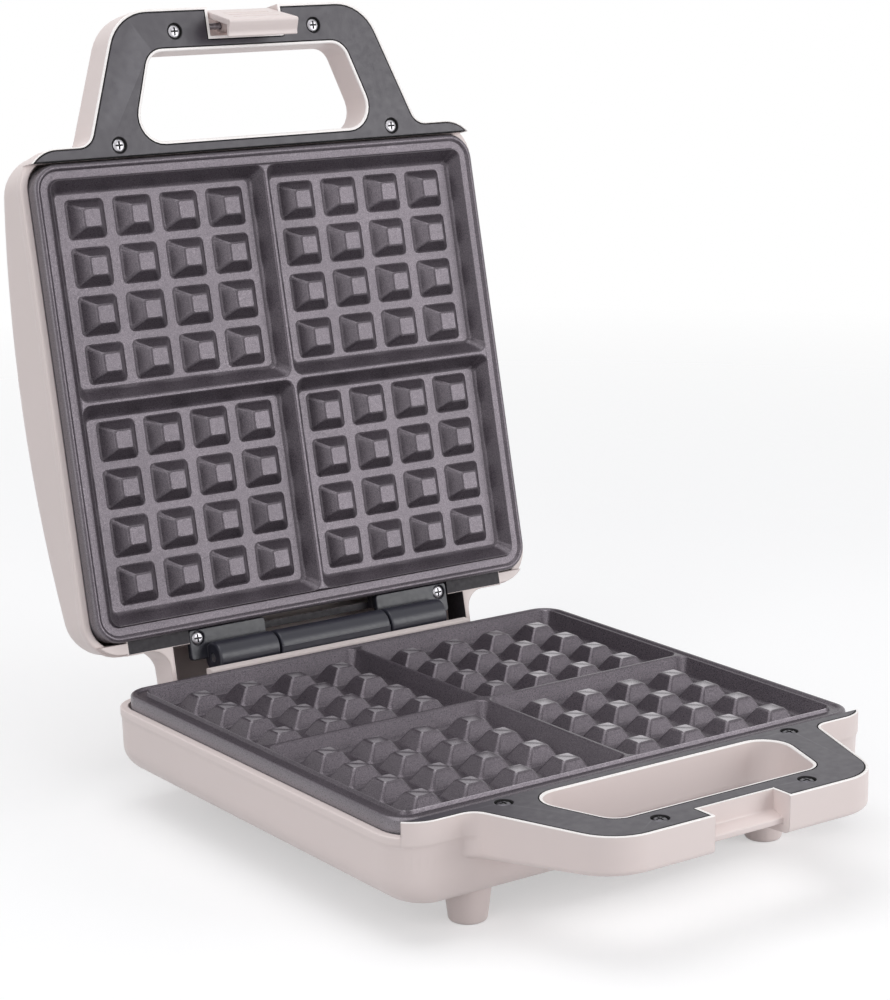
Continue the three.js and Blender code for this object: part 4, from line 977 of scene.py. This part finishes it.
def latch():
    corners = [(-170.3, 12, 1.2), (-171.5, 8, 0), (-171.5, -16.2, 1.2), (-168.6, -15.9, 6),
               (-165.4, -15.4, 4), (-163.5, -16.0, 0.5), (-163.5, -13.9, 0.5),
               (-168.5, -13.2, 0.3), (-168.5, 8, 0), (-167.3, 12, 1.0)]
    steps = [(-0.6, -LATCH_HALF), (-0.2, -LATCH_HALF + 0.15), (0, -LATCH_HALF + 0.6),
             (0, LATCH_HALF - 0.6), (-0.2, LATCH_HALF - 0.15), (-0.6, LATCH_HALF)]
    v, faces = along_x(stepped(rounded_outline(corners, 6), steps))
    v = v.copy()
    lip = np.clip((-6 - v[:, 2]) / 9, 0, 1)
    v[:, 0] *= (17.3 + 1.2 * lip) / LATCH_HALF
    obj = mesh_of("latch", (v, faces))
    boss = along_x(stepped(circle(3.3, PIVOT_Y, PIVOT_Z, 36), [(-0.3, -9), (0, -8.7), (0, 8.7), (-0.3, 9)]))
    neck = block(-9, 9, -169.5, -164, 4.7, 11.3)
    join(obj, boss, neck)
    bore = along_x(stepped(circle(SCREW_BORE, PIVOT_Y, PIVOT_Z, 24), [(0, -21), (0, 21)]))
    grooves = []
    for z in (0.0, -4.5, -9.0):
        plan = rounded_rectangle(12, 0.65, 0.5, 4, 0, -z)
        rings = [np.column_stack([offset_outline(plan, d), np.full(len(plan), y)]) for d, y in
                 ((-0.25, 170.8), (0, 171.15), (0.15, 171.4), (0.5, 171.55), (0.5, 172.5))]
        grooves.append(turned_over(loft(rings)))
    cut(obj, bore, *grooves)
    return obj


def barrel(low, high, y, z, radius=7.3):
    steps = [(-1.6, low), (-0.75, low + 0.12), (-0.2, low + 0.55), (0, low + 1.3),
             (0, high - 1.3), (-0.2, high - 0.55), (-0.75, high - 0.12), (-1.6, high)]
    return along_x(stepped(circle(radius, y, z, 56), steps))


def pin_bore(low, high):
    return along_x(stepped(circle(PIN_BORE, HINGE_Y, HINGE_Z, 28), [(0, low), (0, high)]))


def hinge_pieces():
    obj = mesh_of("knuckle", barrel(-KNUCKLE_HALF, KNUCKLE_HALF, HINGE_Y, HINGE_Z))
    join(obj, soft_block(-KNUCKLE_HALF, KNUCKLE_HALF, BACK + GAP, HINGE_Y, -9, 2.5, 0.5, 0.6))
    cut(obj, pin_bore(-KNUCKLE_HALF - 1, KNUCKLE_HALF + 1))
    piece(obj, "hinge_knuckle_centre", to_base_upright, "base", HINGE, ["base_hinge_knuckle"])
    for name, side in (("right", 1), ("left", -1)):
        low, high = sorted((side * LEAF_START, side * LEAF_BARREL_END))
        obj = mesh_of("leaf", barrel(low, high, HINGE_Y, HINGE_Z))
        x0, x1 = sorted((side * LEAF_START, side * LEAF_END))
        join(obj, soft_block(x0, x1, 106.6, HINGE_Y, 4.5, 7.5, 0.5, 1.4))
        screw_x = side * LEAF_SCREW_X
        cut(obj, pin_bore(low - 1, high + 1),
            stepped(circle(SCREW_BORE, screw_x, LEAF_SCREW_Y, 20), [(0, 4), (0, 9)]),
            stepped(circle(3.3, screw_x, LEAF_SCREW_Y, 40), [(0.3, 3.5), (0.3, 4.5), (0, 4.8), (0, 5.8)]))
        piece(obj, f"hinge_leaf_{name}", to_lid, "lid", HINGE, [f"lid_hinge_leaf_{name}"])
        screw(f"leaf_cross_screw_{name}", f"leaf_screw_{name}", (screw_x, LEAF_SCREW_Y, LEAF_SCREW_SEAT),
              to_lid, "lid", SCREW)


def feet():
    profile = [(6.2, 0), (6.8, 0.1), (7.4, 0.45), (7.75, 1.0), (7.9, 1.7),
               (9.5, 14.4), (9.8, 15.3), (10.4, 16.4)]
    for end_name, end in (("front", -1), ("rear", 1)):
        for side_name, side in (("right", 1), ("left", -1)):
            obj = mesh_of("foot", moved(lathe(profile), side * FOOT_X, end * FOOT_Y, FOOT_LOW))
            name = f"{end_name}_{side_name}"
            piece(obj, f"foot_skin_{name}", to_base_upright, "base", SHELL, [f"foot_{name}"])


def gland():
    def round_body(profile, sides):
        rings = [np.column_stack([circle(r, GLAND_X, -GLAND_DROP, sides), np.full(sides, z)])
                 for r, z in profile]
        return along_y(loft(rings))

    flange = [(6.6, -114.4), (7.2, -114.2), (7.5, -113.8), (7.5, -112.5), (5, -112.5), (5, -104.5)]
    bore = [(3.9, -116), (3.9, -114.3), (3.35, -113.7), (3.2, -113.1), (3.2, -100)]
    obj = cut(mesh_of("gland", round_body(flange, 40)), round_body(bore, 32))
    return piece(obj, "gland_ring", to_base_upright, "base", RUBBER, ["cord_gland"])


def lenses():
    seat = float(lid_height(np.array(82.0)))
    profile = [(3, -5), (3, 0.3), (4, 0.3), (4, 0.8), (3.85, 1.05), (3.5, 1.15),
               (3.0, 1.5), (2.3, 1.85), (1.3, 2.05), (0.3, 2.1)]
    for name, x, finish in (("red", -LAMP_X, RED_LENS), ("green", LAMP_X, GREEN_LENS)):
        obj = mesh_of("lens", moved(lathe(profile, 36), x, LAMP_Y, seat))
        piece(obj, f"lens_{name}", to_lid, "lid", finish, [f"indicator_lens_{name}"])


# Build

lid_shell()
base_shell()
piece(handle_cover(LID_NOTCH_BACK), "cover_upper", to_lid, "lid", COVER, ["upper_handle_cover"],
      angle=12, accents=[(GAP_DARK, cover_side)])
piece(handle_cover(BASE_NOTCH_BACK), "cover_lower", to_base, "base", COVER, ["lower_handle_cover"],
      angle=12, accents=[(GAP_DARK, cover_side)])
piece(plate(), "plate_upper", to_lid, "lid", PLATE, ["upper_plate"], angle=38)
piece(plate(), "plate_lower", to_base, "base", PLATE, ["lower_plate"], angle=38)
for (x, y), name in zip(screw_places, screw_names):
    seat = (x, y, SCREW_SEAT)
    screw(f"screw_upper_{name}", f"upper_cover_screw_{name}", seat, to_lid, "lid", SCREW)
    screw(f"screw_lower_{name}", f"lower_cover_screw_{name}", seat, to_base, "base", SCREW_SHADED)
piece(latch(), "latch_skin", to_latch, "latch", SHELL, ["latch"])
hinge_pieces()
feet()
gland()
lenses()

CAD_FINISH = {
    "lower_heating_element": STEEL, "upper_heating_element": STEEL,
    "lower_heat_reflector": REFLECTOR, "upper_heat_reflector": REFLECTOR,
    "thermostat": STEEL, "thermal_fuse": STEEL, "terminal_block": CERAMIC,
    "latch_pin": STEEL, "latch_spring": STEEL, "hinge_pin": STEEL,
    "indicator_lamp_red": LAMP_GLASS, "indicator_lamp_green": LAMP_GLASS,
}
for name, finish in CAD_FINISH.items():
    nodes[name].data.materials.clear()
    nodes[name].data.materials.append(finish)

# Floor, light and camera


def floor():
    bm = bmesh.new()
    bmesh.ops.create_circle(bm, cap_ends=True, segments=96, radius=6.0)
    mesh = bpy.data.meshes.new("floor")
    bm.to_mesh(mesh)
    bm.free()
    obj = bpy.data.objects.new("floor", mesh)
    bpy.context.scene.collection.objects.link(obj)
    f = Finish("pale_floor")
    f.tree.nodes.remove(f.shader)
    diffuse = f.add("ShaderNodeBsdfDiffuse")
    diffuse.inputs["Color"].default_value = (0.62, 0.62, 0.625, 1)
    glow = f.add("ShaderNodeEmission")
    path = f.add("ShaderNodeLightPath")
    seen = f.add("ShaderNodeMath", operation="MAXIMUM")
    f.link(path.outputs["Is Camera Ray"], seen.inputs[0])
    f.link(path.outputs["Is Glossy Ray"], seen.inputs[1])
    glow.inputs["Color"].default_value = (1, 1, 1, 1)
    strength = f.add("ShaderNodeMath", operation="MULTIPLY")
    f.link(seen.outputs[0], strength.inputs[0])
    strength.inputs[1].default_value = 0.44
    f.link(strength.outputs[0], glow.inputs["Strength"])
    both = f.add("ShaderNodeAddShader")
    f.link(diffuse.outputs[0], both.inputs[0])
    f.link(glow.outputs[0], both.inputs[1])
    clear = f.add("ShaderNodeBsdfTransparent")
    away = f.add("ShaderNodeVectorMath", operation="LENGTH")
    f.link(f.where, away.inputs[0])
    fade = f.span(away.outputs["Value"], 0.55, 1.4, 0.0, 1.0)
    mix = f.add("ShaderNodeMixShader")
    f.link(fade, mix.inputs[0])
    f.link(both.outputs[0], mix.inputs[1])
    f.link(clear.outputs[0], mix.inputs[2])
    f.link(mix.outputs[0], f.output.inputs["Surface"])
    mesh.materials.append(f.material)


def world():
    made = bpy.data.worlds.new("studio")
    bpy.context.scene.world = made
    made.use_nodes = True
    tree = made.node_tree
    tree.nodes.clear()
    output = tree.nodes.new("ShaderNodeOutputWorld")
    path = tree.nodes.new("ShaderNodeLightPath")
    seen, also = (tree.nodes.new("ShaderNodeMath") for _ in range(2))
    seen.operation = also.operation = "MAXIMUM"
    tree.links.new(path.outputs["Is Camera Ray"], seen.inputs[0])
    tree.links.new(path.outputs["Is Glossy Ray"], seen.inputs[1])
    tree.links.new(seen.outputs[0], also.inputs[0])
    tree.links.new(path.outputs["Is Transmission Ray"], also.inputs[1])
    ambient = tree.nodes.new("ShaderNodeBackground")
    ambient.inputs["Color"].default_value = (0.96, 0.97, 1.0, 1)
    ambient.inputs["Strength"].default_value = 0.34
    white = tree.nodes.new("ShaderNodeBackground")
    white.inputs["Strength"].default_value = 1.0
    white.inputs["Color"].default_value = (1, 1, 1, 1)
    mix = tree.nodes.new("ShaderNodeMixShader")
    tree.links.new(also.outputs[0], mix.inputs[0])
    tree.links.new(ambient.outputs[0], mix.inputs[1])
    tree.links.new(white.outputs[0], mix.inputs[2])
    tree.links.new(mix.outputs[0], output.inputs["Surface"])


def softbox(name, direction, distance, width, height, radiance, colour=(1, 1, 1)):
    light = bpy.data.lights.new(name, "AREA")
    light.shape = "RECTANGLE"
    light.size = width
    light.size_y = height
    light.energy = radiance * math.pi * width * height
    light.color = colour
    obj = bpy.data.objects.new(name, light)
    aim = Vector((0, -0.02, 0.15))
    way = Vector(direction).normalized()
    obj.location = aim + way * distance
    obj.rotation_mode = "QUATERNION"
    obj.rotation_quaternion = way.to_track_quat("Z", "Y")
    bpy.context.scene.collection.objects.link(obj)
    obj.visible_camera = False


def camera():
    right = Vector((0.812292, -0.583192, -0.008314))
    down = Vector((-0.137259, -0.177287, -0.974541))
    ahead = Vector((0.56687, 0.792753, -0.224057))
    data = bpy.data.cameras.new("photo_view")
    data.lens = 98.54
    data.sensor_width = 36
    data.sensor_fit = "AUTO"
    data.clip_start = 0.05
    data.clip_end = 50
    obj = bpy.data.objects.new("photo_view", data)
    turn = Matrix((right, -down, -ahead)).transposed()
    place = Vector((-666.503, -904.986 + SHIFT_Y, 345.332 + SHIFT_Z)) * MM
    obj.matrix_world = Matrix.Translation(place) @ turn.to_4x4()
    bpy.context.scene.collection.objects.link(obj)
    bpy.context.scene.camera = obj


floor()
world()
softbox("key_front_right", (0.60, -0.78, 0.20), 2.0, 1.2, 1.2, 4.2)
softbox("overhead", (-0.15, 0.10, 1.0), 2.0, 2.0, 2.0, 1.8)
softbox("fill_left", (-0.85, -0.35, 0.35), 2.0, 1.4, 1.4, 1.6)
camera()
bpy.context.scene.view_settings.view_transform = "Standard"
